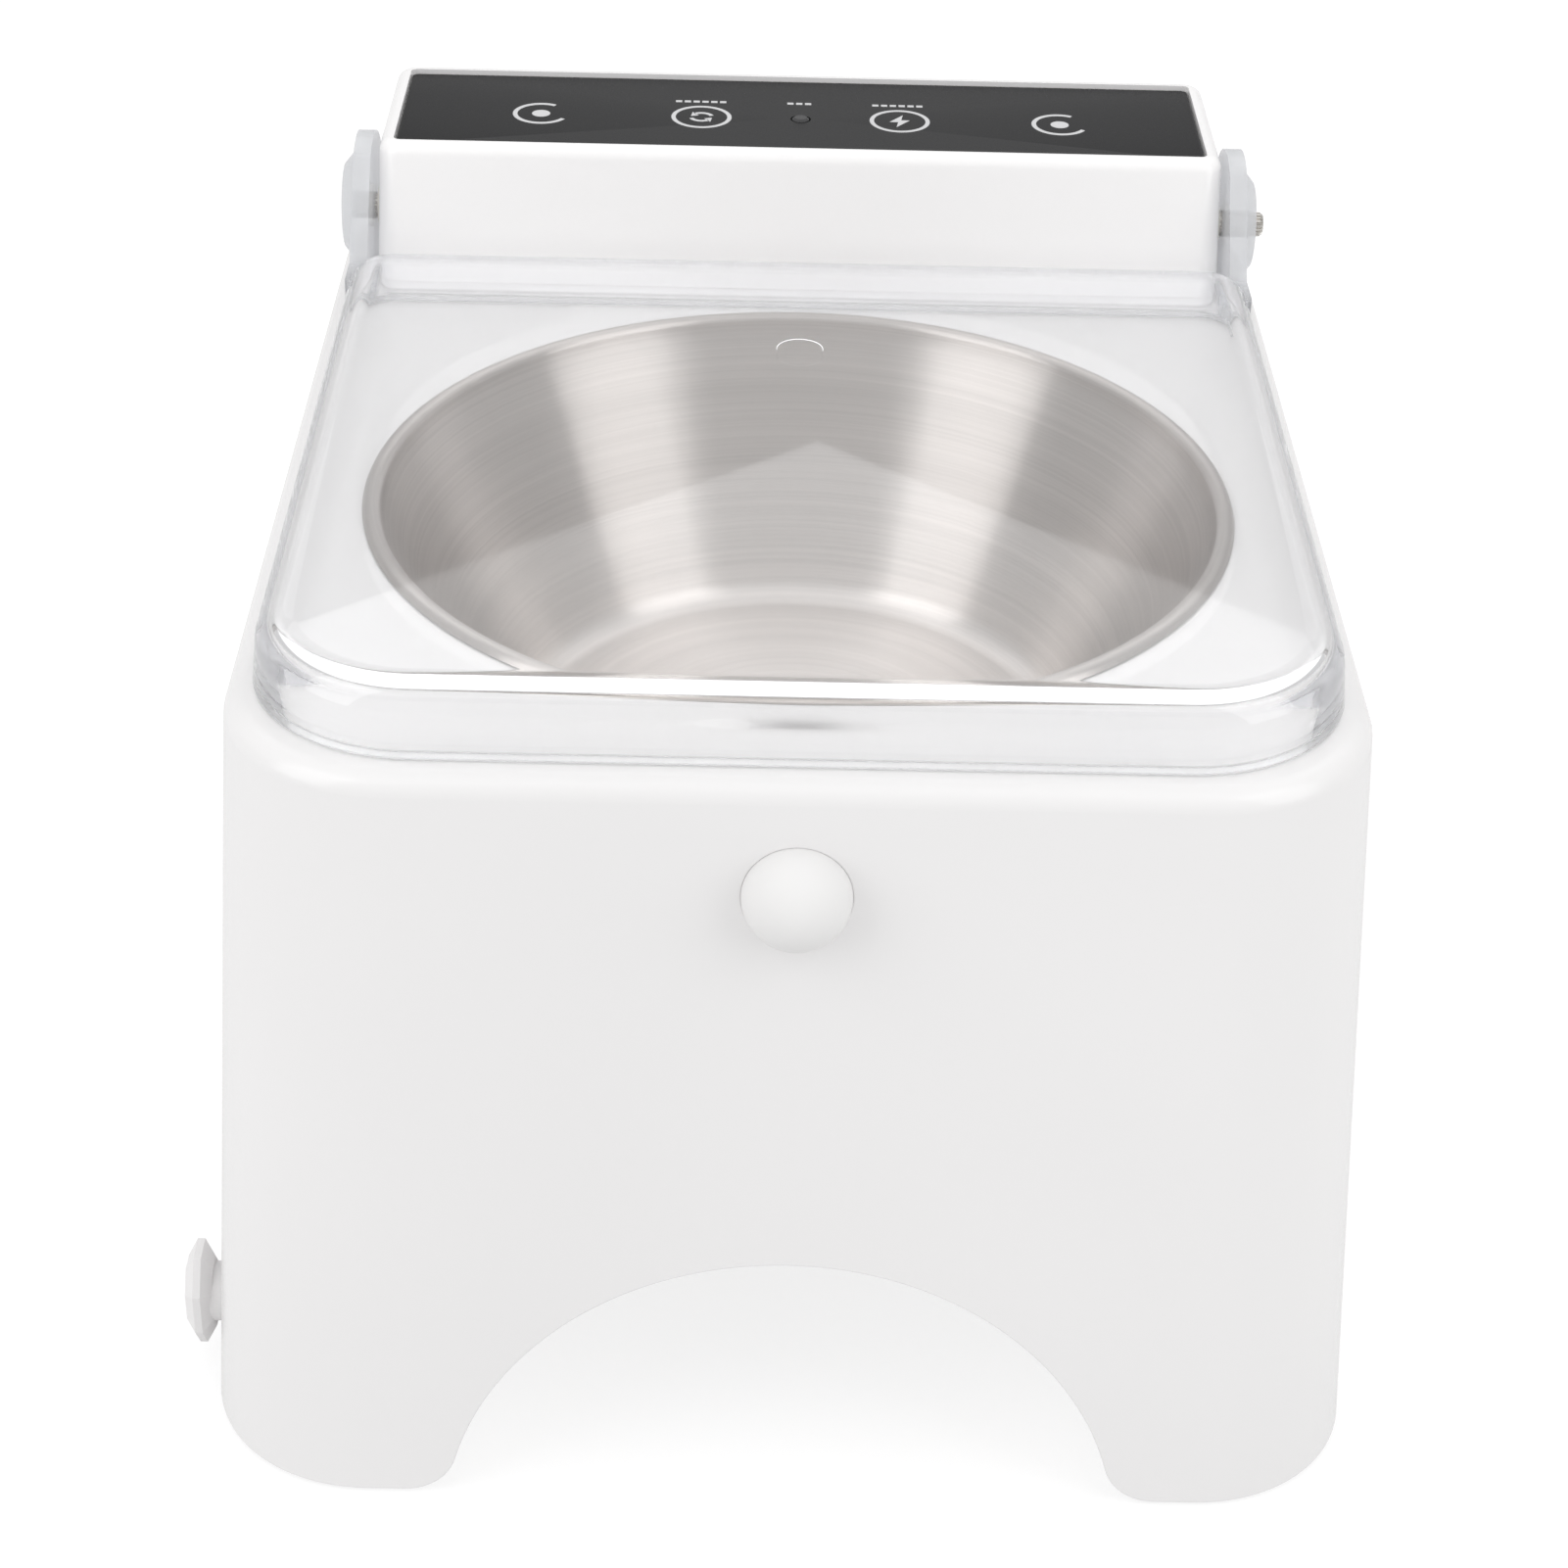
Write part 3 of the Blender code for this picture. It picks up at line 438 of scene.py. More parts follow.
def turned_steel(name, centre, colour, roughness, anisotropic):
    """Metal with fine brush lines that run round a vertical axis through centre."""
    paint = Paint(name)
    shift = paint.add("ShaderNodeVectorMath", Vector=paint.place)
    shift.operation = "SUBTRACT"
    shift.inputs[1].default_value = centre
    parts = paint.add("ShaderNodeSeparateXYZ", Vector=shift.outputs[0])
    square = paint.maths("ADD", paint.maths("POWER", parts.outputs[0], 2.0),
                         paint.maths("POWER", parts.outputs[1], 2.0))
    radius = paint.maths("SQRT", square)
    across = paint.maths("ADD", paint.maths("MULTIPLY", radius, 0.7),
                         paint.maths("MULTIPLY", parts.outputs[2], 1.3))

    def line_noise(frequency):
        line = paint.add("ShaderNodeCombineXYZ")
        paint.feed(line.inputs[0], paint.maths("MULTIPLY", parts.outputs[0], BRUSH_ALONG))
        paint.feed(line.inputs[1], paint.maths("MULTIPLY", parts.outputs[1], BRUSH_ALONG))
        paint.feed(line.inputs[2], paint.maths("MULTIPLY", across, frequency))
        return paint.noise(1.0, 2.0, line.outputs[0], 0.6)

    fine = line_noise(BRUSH_FINE)
    coarse = line_noise(BRUSH_COARSE)
    both = paint.maths("ADD", paint.maths("MULTIPLY", fine, 0.6),
                       paint.maths("MULTIPLY", coarse, 0.4))
    # The middle of the bowl is painted lighter than its wall: painted light on the bowl's floor
    painted_light = paint.add("ShaderNodeVectorMath")
    painted_light.operation = "SCALE"
    paint.feed(painted_light.inputs["Scale"], paint.spread(radius, PAINTED_LIGHT_TONE, 1.0, *PAINTED_LIGHT_RADII))
    paint.feed(painted_light.inputs[0],
               paint.between(both, shade(colour, 0.91), shade(colour, 1.06), 0.35, 0.65))
    tangent = paint.add("ShaderNodeTangent")
    tangent.direction_type = "RADIAL"
    tangent.axis = "Z"
    paint.set(
        Base_Color=painted_light.outputs[0],
        Roughness=paint.spread(both, roughness - 0.01, roughness + 0.01),
        Normal=paint.bump(fine, 0.000001, 0.3),
        Tangent=tangent.outputs[0],
        Metallic=1.0,
        Anisotropic=anisotropic,
        Anisotropic_Rotation=0.25,
    )
    return paint.material


def clear_plastic():
    """Polished clear acrylic. Lamps reach what is below it, as through the real lid.

    By its place on the lid it has painted shade on its side walls, is fainter at the rear wall,
    is painted partly a flat grey as painted shade in the ears and has a painted grey shade line at
    the foot.
    """
    paint = Paint("clear_acrylic")
    smear = paint.noise(14.0, 2.0)
    swirl = paint.noise(30.0, 1.0)
    parts = paint.add("ShaderNodeSeparateXYZ", Vector=paint.place)
    aside = paint.maths("ABSOLUTE", paint.maths("SUBTRACT", parts.outputs[0], place(0, 0, 0).x))

    def across(low, high, limits):
        """A share that changes with the distance from the middle plane."""
        return paint.spread(aside, low, high, limits[0] * MM, limits[1] * MM)

    def backward(low, high, limits):
        """A share that changes from the front to the rear."""
        start, end = (place(0, y, 0).y for y in limits)
        return paint.spread(parts.outputs[1], low, high, start, end)

    # Painted shade: the lid's colour is made darker towards its side walls
    edge = paint.add("ShaderNodeVectorMath")
    edge.operation = "SCALE"
    paint.feed(edge.inputs[0],
               paint.between(smear, (0.985, 0.987, 0.992), (0.997, 0.998, 1.0)))
    paint.feed(edge.inputs["Scale"], across(1.0, LID_EDGE_SHADE, LID_EDGE_SHADE_X))
    paint.set(
        Base_Color=edge.outputs[0],
        Roughness=paint.spread(smear, 0.0, 0.03),
        Normal=paint.bump(swirl, 0.000008, 0.2),
        IOR=ACRYLIC_IOR,
        Transmission_Weight=1.0,
    )
    rays = paint.add("ShaderNodeLightPath")
    # Painted shade: the ears are mixed with a flat light grey and a tinted see-through shader
    in_ear = paint.maths("MULTIPLY", backward(0.0, 1.0, EAR_FROM_Y), across(0.0, 1.0, EAR_FROM_X))
    ear_shade_grey = paint.add("ShaderNodeBsdfPrincipled", Base_Color=(0.68, 0.686, 0.70, 1), Roughness=0.12)
    thin = paint.add("ShaderNodeBsdfTransparent", Color=(0.93, 0.935, 0.95, 1))
    ear = paint.mix(EAR_SHADE_SHARE, thin.outputs[0], ear_shade_grey.outputs[0])
    in_rear = paint.maths("MULTIPLY", backward(0.0, LID_REAR_FADE, LID_REAR_Y),
                          across(1.0, 0.0, LID_SIDE_X))
    faint = paint.add("ShaderNodeBsdfTransparent", Color=(0.985, 0.987, 0.992, 1))
    solid = paint.mix(in_rear, paint.shader.outputs[0], faint.outputs[0])
    solid = paint.mix(in_ear, solid, ear)
    # Painted shade: a grey line is mixed in along the lid's bottom rim
    foot_low, foot_high = ((LID_Z + rise) * MM for rise in LID_FOOT_RISE)
    foot = paint.maths("MULTIPLY", paint.spread(parts.outputs[2], 1.0, 0.0, foot_low, foot_high),
                       across(*LID_FOOT_SHADE, LID_SIDE_X))
    foot_shade_grey = paint.add("ShaderNodeBsdfPrincipled", Base_Color=(0.55, 0.55, 0.56, 1), Roughness=0.5)
    solid = paint.mix(foot, solid, foot_shade_grey.outputs[0])
    trapped = paint.maths("GREATER_THAN", rays.outputs["Ray Depth"], MOST_BOUNCES)
    passing = paint.add("ShaderNodeBsdfTransparent", Color=(0.97, 0.97, 0.98, 1))
    solid = paint.mix(trapped, solid, passing.outputs[0])
    clear = paint.add("ShaderNodeBsdfTransparent", Color=(0.985, 0.988, 0.99, 1))
    shown = paint.mix(rays.outputs["Is Shadow Ray"], solid, clear.outputs[0])
    paint.tree.links.new(shown, paint.tree.nodes["Material Output"].inputs["Surface"])
    return paint.material


def drawn_metal(name, colour, roughness):
    """Small metal pieces with a fine, even grain."""
    paint = Paint(name)
    stretch = paint.add("ShaderNodeMapping", Vector=paint.place)
    stretch.inputs["Scale"].default_value = (2500.0, 2500.0, 2500.0)
    line = paint.noise(1.0, 3.0, stretch.outputs[0])
    paint.set(
        Base_Color=paint.between(line, shade(colour, 0.88), shade(colour, 1.08)),
        Roughness=paint.spread(line, roughness - 0.07, roughness + 0.07),
        Normal=paint.bump(line, 0.00002, 0.4),
        Metallic=1.0,
    )
    return paint.material


def board_paint():
    """Green circuit board with raised copper lines under its lacquer."""
    paint = Paint("circuit_board")
    tracks = paint.add("ShaderNodeTexBrick", Vector=paint.place, Scale=260.0)
    tracks.inputs["Color1"].default_value = (0.010, 0.17, 0.07, 1)
    tracks.inputs["Color2"].default_value = (0.016, 0.22, 0.09, 1)
    tracks.inputs["Mortar"].default_value = (0.03, 0.32, 0.14, 1)
    paint.set(Base_Color=tracks.outputs["Color"],
              Roughness=paint.spread(paint.noise(900.0), 0.3, 0.45),
              Normal=paint.bump(tracks.outputs["Fac"], 0.00004, 0.5))
    return paint.material


WHITE_COLOUR = (0.81, 0.802, 0.802)
WHITE = moulded("white_abs", WHITE_COLOUR, 0.22)
# The head cover is the same white plastic painted 9% lighter: painted light, as its front gets
# less light than the body's
HEAD_WHITE_PAINTED_LIGHT = moulded("white_abs_head_painted_light", shade(WHITE_COLOUR, 1.09), 0.22)
CLEAR = clear_plastic()
BOWL_STEEL = turned_steel("brushed_stainless", place(0, BOWL_Y, 0), (0.580, 0.549, 0.529),
                          0.285, 1.0)
NICKEL = drawn_metal("nickel_steel", (0.62, 0.60, 0.57), 0.25)
BRASS = drawn_metal("brass", (0.78, 0.60, 0.28), 0.30)
PANEL = moulded("panel_film", (0.010, 0.010, 0.011), 0.30, 2200.0, 0.000012, 0.00002, 0.06,
                Specular_IOR_Level=0.15)
DARK = moulded("dark_plastic", (0.035, 0.035, 0.037), 0.45, 1500.0, 0.00002, 0.00002, 0.08)
MILKY = moulded("milky_plastic", (0.79, 0.784, 0.780), 0.7, 1200.0, 0.00001)
SILICONE = moulded("white_silicone", (0.80, 0.79, 0.79), 0.55, 1600.0, 0.00002)
NYLON = moulded("nylon", (0.78, 0.76, 0.70), 0.5, 1100.0, 0.00002, 0.00003, 0.03)
RUBBER = moulded("grey_rubber", (0.22, 0.22, 0.225), 0.8, 1300.0, 0.00005, 0.00002, 0.08)
BOARD = board_paint()
CELL = moulded("cell_wrap", (0.04, 0.13, 0.42), 0.33, 700.0, 0.00002, 0.00008, 0.05)
BLACK_LEAD = moulded("black_lead", (0.03, 0.03, 0.03), 0.5, 1500.0, 0.00003, 0.00003, 0.08)
RED_LEAD = moulded("red_lead", (0.50, 0.03, 0.03), 0.5, 1500.0, 0.00003, 0.00003, 0.06)
MARK = moulded("print_ink", (0.62, 0.62, 0.63), 0.45, 1800.0, 0.00001, 0.00001, 0.03)

# CAD nodes that stay as they are, with a better material
CAD_PAINT = {
    "battery_cell": CELL, "battery_cradle": NYLON,
    "battery_lead": RED_LEAD, "charge_board": BOARD, "charge_lead": BLACK_LEAD,
    "charge_socket": DARK, "gear_case": NYLON, "hinge_bush_left": NYLON,
    "hinge_bush_right": NYLON, "idler_gear": NYLON, "key_button": DARK,
    "light_guide_charge": MILKY, "light_guide_switch": MILKY, "limit_switch": DARK,
    "motion_board": BOARD, "motion_sensor_can": NICKEL, "motor_can": NICKEL,
    "motor_pinion": BRASS, "output_gear": NYLON, "panel_board": BOARD, "pivot_pin": NICKEL,
    "sensor_lead": BLACK_LEAD, "tact_switch": DARK, "head_screw_left": NICKEL,
    "head_screw_right": NICKEL,
}


# ---------------------------------------------------------------- mesh helpers

def smooth(mesh, sharp):
    mesh.shade_smooth()
    mesh.set_sharp_from_angle(angle=math.radians(sharp))


def raw_object(name, bm, sharp):
    """Turn a bmesh in product millimetres into an object in the frame's metres."""
    bmesh.ops.recalc_face_normals(bm, faces=bm.faces)
    bmesh.ops.scale(bm, verts=bm.verts, vec=(MM, MM, MM))
    bmesh.ops.translate(bm, verts=bm.verts, vec=ORIGIN)
    mesh = bpy.data.meshes.new(name)
    bm.to_mesh(mesh)
    bm.free()
    smooth(mesh, sharp)
    made = bpy.data.objects.new(name, mesh)
    bpy.context.scene.collection.objects.link(made)
    return made


def publish(name, bm, paint, body, slot, *nodes, sharp=SHARP_ANGLE):
    """Make a smooth-shaded piece that rides on a body and may replace CAD nodes."""
    piece = raw_object(name, bm, sharp)
    piece.data.materials.append(paint)
    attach(piece, body)
    if nodes:
        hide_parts(*nodes)
    return piece


def carve(piece, tools):
    """Apply (operation, bmesh) steps to a piece, in order, and shade it again."""
    made = []
    for operation, bm in tools:
        tool = raw_object("tool", bm, SHARP_ANGLE)
        step = piece.modifiers.new("step", "BOOLEAN")
        step.operation = operation
        step.solver = "EXACT"
        step.object = tool
        made.append(tool)
    shaped = bpy.data.meshes.new_from_object(
        piece.evaluated_get(bpy.context.evaluated_depsgraph_get()))
    piece.modifiers.clear()
    paint = piece.data.materials[0]
    piece.data = shaped
    shaped.materials.clear()
    shaped.materials.append(paint)
    for tool in made:
        bpy.data.objects.remove(tool, do_unlink=True)
    smooth(shaped, SHARP_ANGLE)


def soften(piece, width, segments=3, angle=40):
    """Round the piece's sharp edges."""
    step = piece.modifiers.new("edges", "BEVEL")
    step.width = width * MM
    step.segments = segments
    step.limit_method = "ANGLE"
    step.angle_limit = math.radians(angle)
    step.harden_normals = True
    step.miter_outer = "MITER_ARC"
    step.use_clamp_overlap = True


def rounded_rectangle(half, front, rear, front_radius, rear_radius, z, steps):
    """A closed level outline with a round of so many steps at each corner."""
    corners = (
        (half - rear_radius, rear - rear_radius, rear_radius, 0),
        (rear_radius - half, rear - rear_radius, rear_radius, 90),
        (front_radius - half, front + front_radius, front_radius, 180),
        (half - front_radius, front + front_radius, front_radius, 270),
    )
    points = []
    for centre_x, centre_y, radius, start in corners:
        for step in range(steps + 1):
            angle = math.radians(start + 90 * step / steps)
            points.append(Vector((centre_x + radius * math.cos(angle),
                                  centre_y + radius * math.sin(angle), z)))
    return points


def loft(rings):
    """A closed skin through rings of equally many points, with both ends capped."""
    bm = bmesh.new()
    loops = [[bm.verts.new(point) for point in ring] for ring in rings]
    for lower, upper in zip(loops, loops[1:]):
        for here in range(len(lower)):
            after = (here + 1) % len(lower)
            bm.faces.new((lower[here], lower[after], upper[after], upper[here]))
    bm.faces.new(loops[0])
    bm.faces.new(loops[-1])
    return bm


def prism(outline, reach):
    """A flat outline moved along reach."""
    bm = bmesh.new()
    face = bm.faces.new([bm.verts.new(point) for point in outline])
    grown = bmesh.ops.extrude_face_region(bm, geom=[face])["geom"]
    moved = [item for item in grown if isinstance(item, bmesh.types.BMVert)]
    bmesh.ops.translate(bm, verts=moved, vec=reach)
    return bm


def turned(profile, axis="Z", centre=(0.0, 0.0, 0.0), steps=64):
    """Spin (radius, height) points about an axis, from one point on it to another."""
    bm = bmesh.new()
    rows = []
    for radius, height in profile:
        if radius == 0:
            rows.append([bm.verts.new((0, 0, height))] * steps)
            continue
        row = []
        for step in range(steps):
            angle = 2 * math.pi * step / steps
            row.append(bm.verts.new((radius * math.cos(angle), radius * math.sin(angle), height)))
        rows.append(row)
    for first, second in zip(rows, rows[1:]):
        for here in range(steps):
            after = (here + 1) % steps
            corners = list(dict.fromkeys((first[here], first[after], second[after], second[here])))
            bm.faces.new(corners)
    bmesh.ops.transform(bm, verts=bm.verts, matrix=LAY_ALONG[axis])
    bmesh.ops.translate(bm, verts=bm.verts, vec=centre)
    return bm


def merge(into, bm):
    """Add one bmesh to another."""
    mesh = bpy.data.meshes.new("merge")
    bm.to_mesh(mesh)
    bm.free()
    into.from_mesh(mesh)
    bpy.data.meshes.remove(mesh)


def rod(radius, start, end, axis="Z", centre=(0.0, 0.0, 0.0), steps=64):
    """A plain cylinder between two heights on an axis, mostly used as a cutter."""
    return turned(((0, start), (radius, start), (radius, end), (0, end)), axis, centre, steps)


def block(low, high):
    """A box between two corners, used as a cutter."""
    bm = bmesh.new()
    bmesh.ops.create_cube(bm, size=1.0)
    bmesh.ops.scale(bm, verts=bm.verts, vec=Vector(high) - Vector(low))
    bmesh.ops.translate(bm, verts=bm.verts, vec=(Vector(high) + Vector(low)) / 2)
    return bm


def round_corners(profile, radii, steps):
    """Replace each inner corner of a (radius, height) profile by an arc of its radius."""
    made = [profile[0]]
    for before, here, after, radius in zip(profile, profile[1:], profile[2:], radii):
        if not radius:
            made.append(here)
            continue
        point, back, on = Vector(here), Vector(before), Vector(after)
        inward, outward = (back - point).normalized(), (on - point).normalized()
        half = inward.angle(outward) / 2
        reach = min(radius / math.tan(half), (back - point).length * 0.49,
                    (on - point).length * 0.49)
        bulge = reach * math.tan(half)
        centre = point + (inward + outward).normalized() * (bulge / math.sin(half))
        first = point + inward * reach - centre
        turn = first.angle_signed(point + outward * reach - centre)
        for step in range(steps + 1):
            angle = -turn * step / steps
            spun = Matrix.Rotation(angle, 2) @ first
            made.append(tuple(centre + spun))
    made.append(profile[-1])
    return made


def quarter(radius, steps):
    """(inset, drop) pairs of a quarter round from a side wall to a top."""
    pairs = []
    for step in range(steps + 1):
        angle = math.radians(90 * step / steps)
        pairs.append((radius * (1 - math.cos(angle)), radius * (1 - math.sin(angle))))
    return pairs


# ---------------------------------------------------------------- body

def body_ring(z, inset=0.0):
    """The drafted outline of the body at one height."""
    share = (z - BASE_Z) / (DECK_Z - BASE_Z)
    half = BODY_HALF_BOTTOM + (BODY_HALF_TOP - BODY_HALF_BOTTOM) * share
    front = BODY_FRONT_BOTTOM + (BODY_FRONT_TOP - BODY_FRONT_BOTTOM) * share
    rear = BODY_REAR_BOTTOM + (BODY_REAR_TOP - BODY_REAR_BOTTOM) * share
    radius = BODY_CORNER - inset
    return rounded_rectangle(half - inset, front + inset, rear - inset, radius, radius, z, 24)


def arch_outline(offset, y):
    """The arch line from the left leg to the right, rounded into the leg by a foot fillet."""
    foot_z = BASE_Z + FOOT_FILLET
    span = ARCH_RADIUS + FOOT_FILLET
    foot_x = math.sqrt(span ** 2 - (foot_z - ARCH_CENTRE_Z) ** 2)
    lean = math.atan2(foot_z - ARCH_CENTRE_Z, foot_x)
    fillet = FOOT_FILLET - offset
    right = []
    for step in range(12):
        angle = -math.pi / 2 + (lean - math.pi / 2) * step / 12
        right.append((foot_x + fillet * math.cos(angle), foot_z + fillet * math.sin(angle)))
    arch = []
    radius = ARCH_RADIUS + offset
    for step in range(73):
        angle = lean + (math.pi - 2 * lean) * step / 72
        arch.append((radius * math.cos(angle), ARCH_CENTRE_Z + radius * math.sin(angle)))
    left = [(-x, z) for x, z in reversed(right)]
    return [Vector((x, y, z)) for x, z in right + arch + left]


def make_body():
    """The white stand: drafted walls, a filleted deck, both arches and every opening."""
    levels = [(0.0, DECK_Z - BASE_Z), *quarter(DECK_FILLET, 8)]
    rings = [body_ring(DECK_Z - drop, inset) for inset, drop in levels]
    body = publish("body", loft(rings), WHITE, "frame", "white_shell", "body_shell")
    arch = arch_outline(0.0, BODY_FRONT_BOTTOM - 6)
    floor_line = [Vector((p.x, p.y, BASE_Z - 3)) for p in (arch[-1], arch[0])]
    through = BODY_REAR_BOTTOM - BODY_FRONT_BOTTOM + 12
    inside = loft([body_ring(BASE_Z - 4, WALL), body_ring(DECK_Z - WALL, WALL)])
    hole = rod(BOWL_HOLE_RADIUS, DECK_Z - 6, DECK_Z + 4, "Z", (0, BOWL_Y, 0), 144)
    carve(body, [
        ("DIFFERENCE", inside),
        ("DIFFERENCE", prism([*arch, *floor_line], (0, through, 0))),
        ("DIFFERENCE", hole),
        ("DIFFERENCE", rod(DOME_RADIUS - DOME_SNUG, -8, 8, "Y", (0, 0, PIR_Z), 72)),
        ("DIFFERENCE", rod(PLUG_STEM_RADIUS + GAP, PLUG_FACE_X, -90, "X",
                           (0, SOCKET_Y, SOCKET_Z), 48)),
        ("DIFFERENCE", block((-WIRE_SLOT_HALF, WIRE_SLOT_Y[0], DECK_Z - 6),
                             (WIRE_SLOT_HALF, WIRE_SLOT_Y[1], DECK_Z + 4))),
    ])
    soften(body, 0.35)


def make_base_cover():
    """The bottom cover with its tunnel, at a finer step than the CAD node."""
    front = BODY_FRONT_BOTTOM - 4
    lower = arch_outline(0.0, front)
    upper = arch_outline(COVER_WALL, front)
    side = BODY_HALF_BOTTOM + 6
    top = BASE_Z + COVER_WALL
    lower = [Vector((side, front, BASE_Z)), *lower, Vector((-side, front, BASE_Z))]
    upper = [Vector((side, front, top)), *upper, Vector((-side, front, top))]
    length = BODY_REAR_BOTTOM - BODY_FRONT_BOTTOM + 8
    cover = publish("base", prism([*lower, *reversed(upper)], (0, length, 0)), WHITE,
                    "frame", "white_shell", "base_cover")
    inset = WALL + GAP
    trim = loft([body_ring(BASE_Z - 3, inset), body_ring(ARCH_RADIUS + 6, inset)])
    steps = [("INTERSECT", trim)]
    for x, pad_y, screw_y in CORNERS.values():
        centre = (x, screw_y, 0)
        steps += [
            ("DIFFERENCE", rod(FOOT_RADIUS + GAP, BASE_Z - 2, BASE_Z + 1, "Z", (x, pad_y, 0), 40)),
            ("UNION", rod(5.0, BASE_Z + 1, BASE_SCREW_Z + 2.2, "Z", centre, 32)),
            ("DIFFERENCE", rod(3.3, BASE_Z - 2, BASE_SCREW_Z + GAP, "Z", centre, 32)),
            ("DIFFERENCE", rod(1.9, BASE_Z - 2, BASE_SCREW_Z + 5, "Z", centre, 24)),
        ]
    carve(cover, steps)
    soften(cover, 0.3, 2)


def make_feet():
    """Rubber pads with a rounded edge and a moulded ring, and cross-head screws."""
    for corner, (x, pad_y, screw_y) in CORNERS.items():
        top = BASE_Z + 1 - GAP
        profile = [(0, 0.25), (2.2, 0.25), (2.6, 0.0), (FOOT_RADIUS - 0.4, 0.0),
                   (FOOT_RADIUS - 0.1, 0.15), (FOOT_RADIUS, 0.5), (FOOT_RADIUS, top), (0, top)]
        publish(f"pad_{corner}", turned(profile, "Z", (x, pad_y, 0), 48), RUBBER,
                "frame", "grey_rubber", f"foot_pad_{corner}")
        make_screw(f"screw_{corner}", x, screw_y, f"base_screw_{corner}")


def make_screw(name, x, y, node):
    """A pan-head screw with a thread and a cross recess, its head downwards."""
    under_z, length = BASE_SCREW_Z, BASE_SCREW_LENGTH
    profile = [(0, under_z - 1.9), (1.8, under_z - 1.9), (2.4, under_z - 1.7),
               (2.9, under_z - 1.1), (3.0, under_z - 0.6), (3.0, under_z), (1.5, under_z)]
    turns = 8
    for turn in range(turns):
        z = under_z + 0.6 + turn * (length - 2.2) / turns
        profile += [(1.15, z), (1.5, z + 0.35), (1.15, z + 0.7)]
    profile += [(0.6, under_z + length - 0.3), (0, under_z + length)]
    screw = publish(name, turned(profile, "Z", (x, y, 0), 32), NICKEL, "frame", "steel", node)
    low, high = under_z - 2.6, under_z - 0.9
    carve(screw, [
        ("DIFFERENCE", block((x - 1.6, y - 0.28, low), (x + 1.6, y + 0.28, high))),
        ("DIFFERENCE", block((x - 0.28, y - 1.6, low), (x + 0.28, y + 1.6, high))),
    ])


# ---------------------------------------------------------------- bowl

def make_bowl():
    """Spun steel: floor, rounded corner, conical wall and a turned-over rim."""
    slope = (BOWL_WALL_TOP[0] - BOWL_WALL_FOOT[0]) / (BOWL_WALL_TOP[1] - BOWL_WALL_FOOT[1])
    floor = BOWL_FLOOR_Z
    corner = BOWL_WALL_FOOT[0] - (BOWL_WALL_FOOT[1] - floor) * slope
    bead = (BOWL_RIM_RADIUS - BOWL_WALL_TOP[0]) / 2
    bead_r, bead_z = BOWL_WALL_TOP[0] + bead, BOWL_RIM_Z - bead
    inner = round_corners([(0, floor), (corner, floor), (BOWL_WALL_TOP[0], bead_z)],
                          [BOWL_CORNER_RADIUS], 12)
    rim = []
    for step in range(1, 13):
        angle = math.radians(180 - 180 * step / 12)
        rim.append((bead_r + bead * math.cos(angle), bead_z + bead * math.sin(angle)))
    low = DECK_Z + GAP
    rim = [(r, max(z, low)) for r, z in rim] + [(bead_r - 0.2, low)]
    under = corner + BOWL_SHEET * 0.9
    outer = [(BOWL_WALL_TOP[0] + 0.1, bead_z - 1.8), (under, floor - BOWL_SHEET),
             (0, floor - BOWL_SHEET)]
    outside = round_corners([rim[-1], *outer], [0.5, BOWL_CORNER_RADIUS + BOWL_SHEET], 8)[1:]
    profile = dense([*inner, *rim, *outside], 2.5)
    publish("steel_bowl", turned(profile, "Z", (0, BOWL_Y, 0), 192), BOWL_STEEL,
            "bowl", "bowl_steel", "bowl", sharp=45)


def dense(profile, longest):
    """Divide the long pieces of a profile."""
    made = [profile[0]]
    for before, here in zip(profile, profile[1:]):
        start, end = Vector(before), Vector(here)
        parts = max(1, math.ceil((end - start).length / longest))
        made += [tuple(start.lerp(end, part / parts)) for part in range(1, parts + 1)]
    return [(0.0 if radius < 1e-6 else radius, z) for radius, z in made]


# ---------------------------------------------------------------- lid

def lid_ring(height, inset):
    """The drafted outline of the lid at a height above its foot."""
    inset = inset + LID_DRAFT * height / LID_HEIGHT
    return rounded_rectangle(LID_HALF - inset, LID_FRONT + inset, LID_REAR - inset,
                             LID_FRONT_CORNER - inset, LID_REAR_CORNER - inset,
                             LID_Z + height, 24)


def ear_outline(x):
    """One ear in the YZ plane: a plate from the lid's side to the rounded hinge eye."""
    low = -EAR_SWING_RADIUS
    root = EAR_ROOT_Y - HINGE_Y
    top = LID_Z + LID_HEIGHT - LID_FILLET * 0.5 - HINGE_Z
    points = [(root, low)]
    for step in range(49):
        angle = math.radians(-90 + 210 * step / 48)
        reach = EAR_SWING_RADIUS
        if angle > 0:
            reach = min(EAR_TOP_RADIUS, EAR_SWING_RADIUS / max(math.cos(angle), 0.1))
        points.append((reach * math.cos(angle), reach * math.sin(angle)))
    points.append((LID_REAR - 4 - HINGE_Y, top))
    points.append((root, top))
    return [Vector((x, HINGE_Y + y, HINGE_Z + z)) for y, z in points]


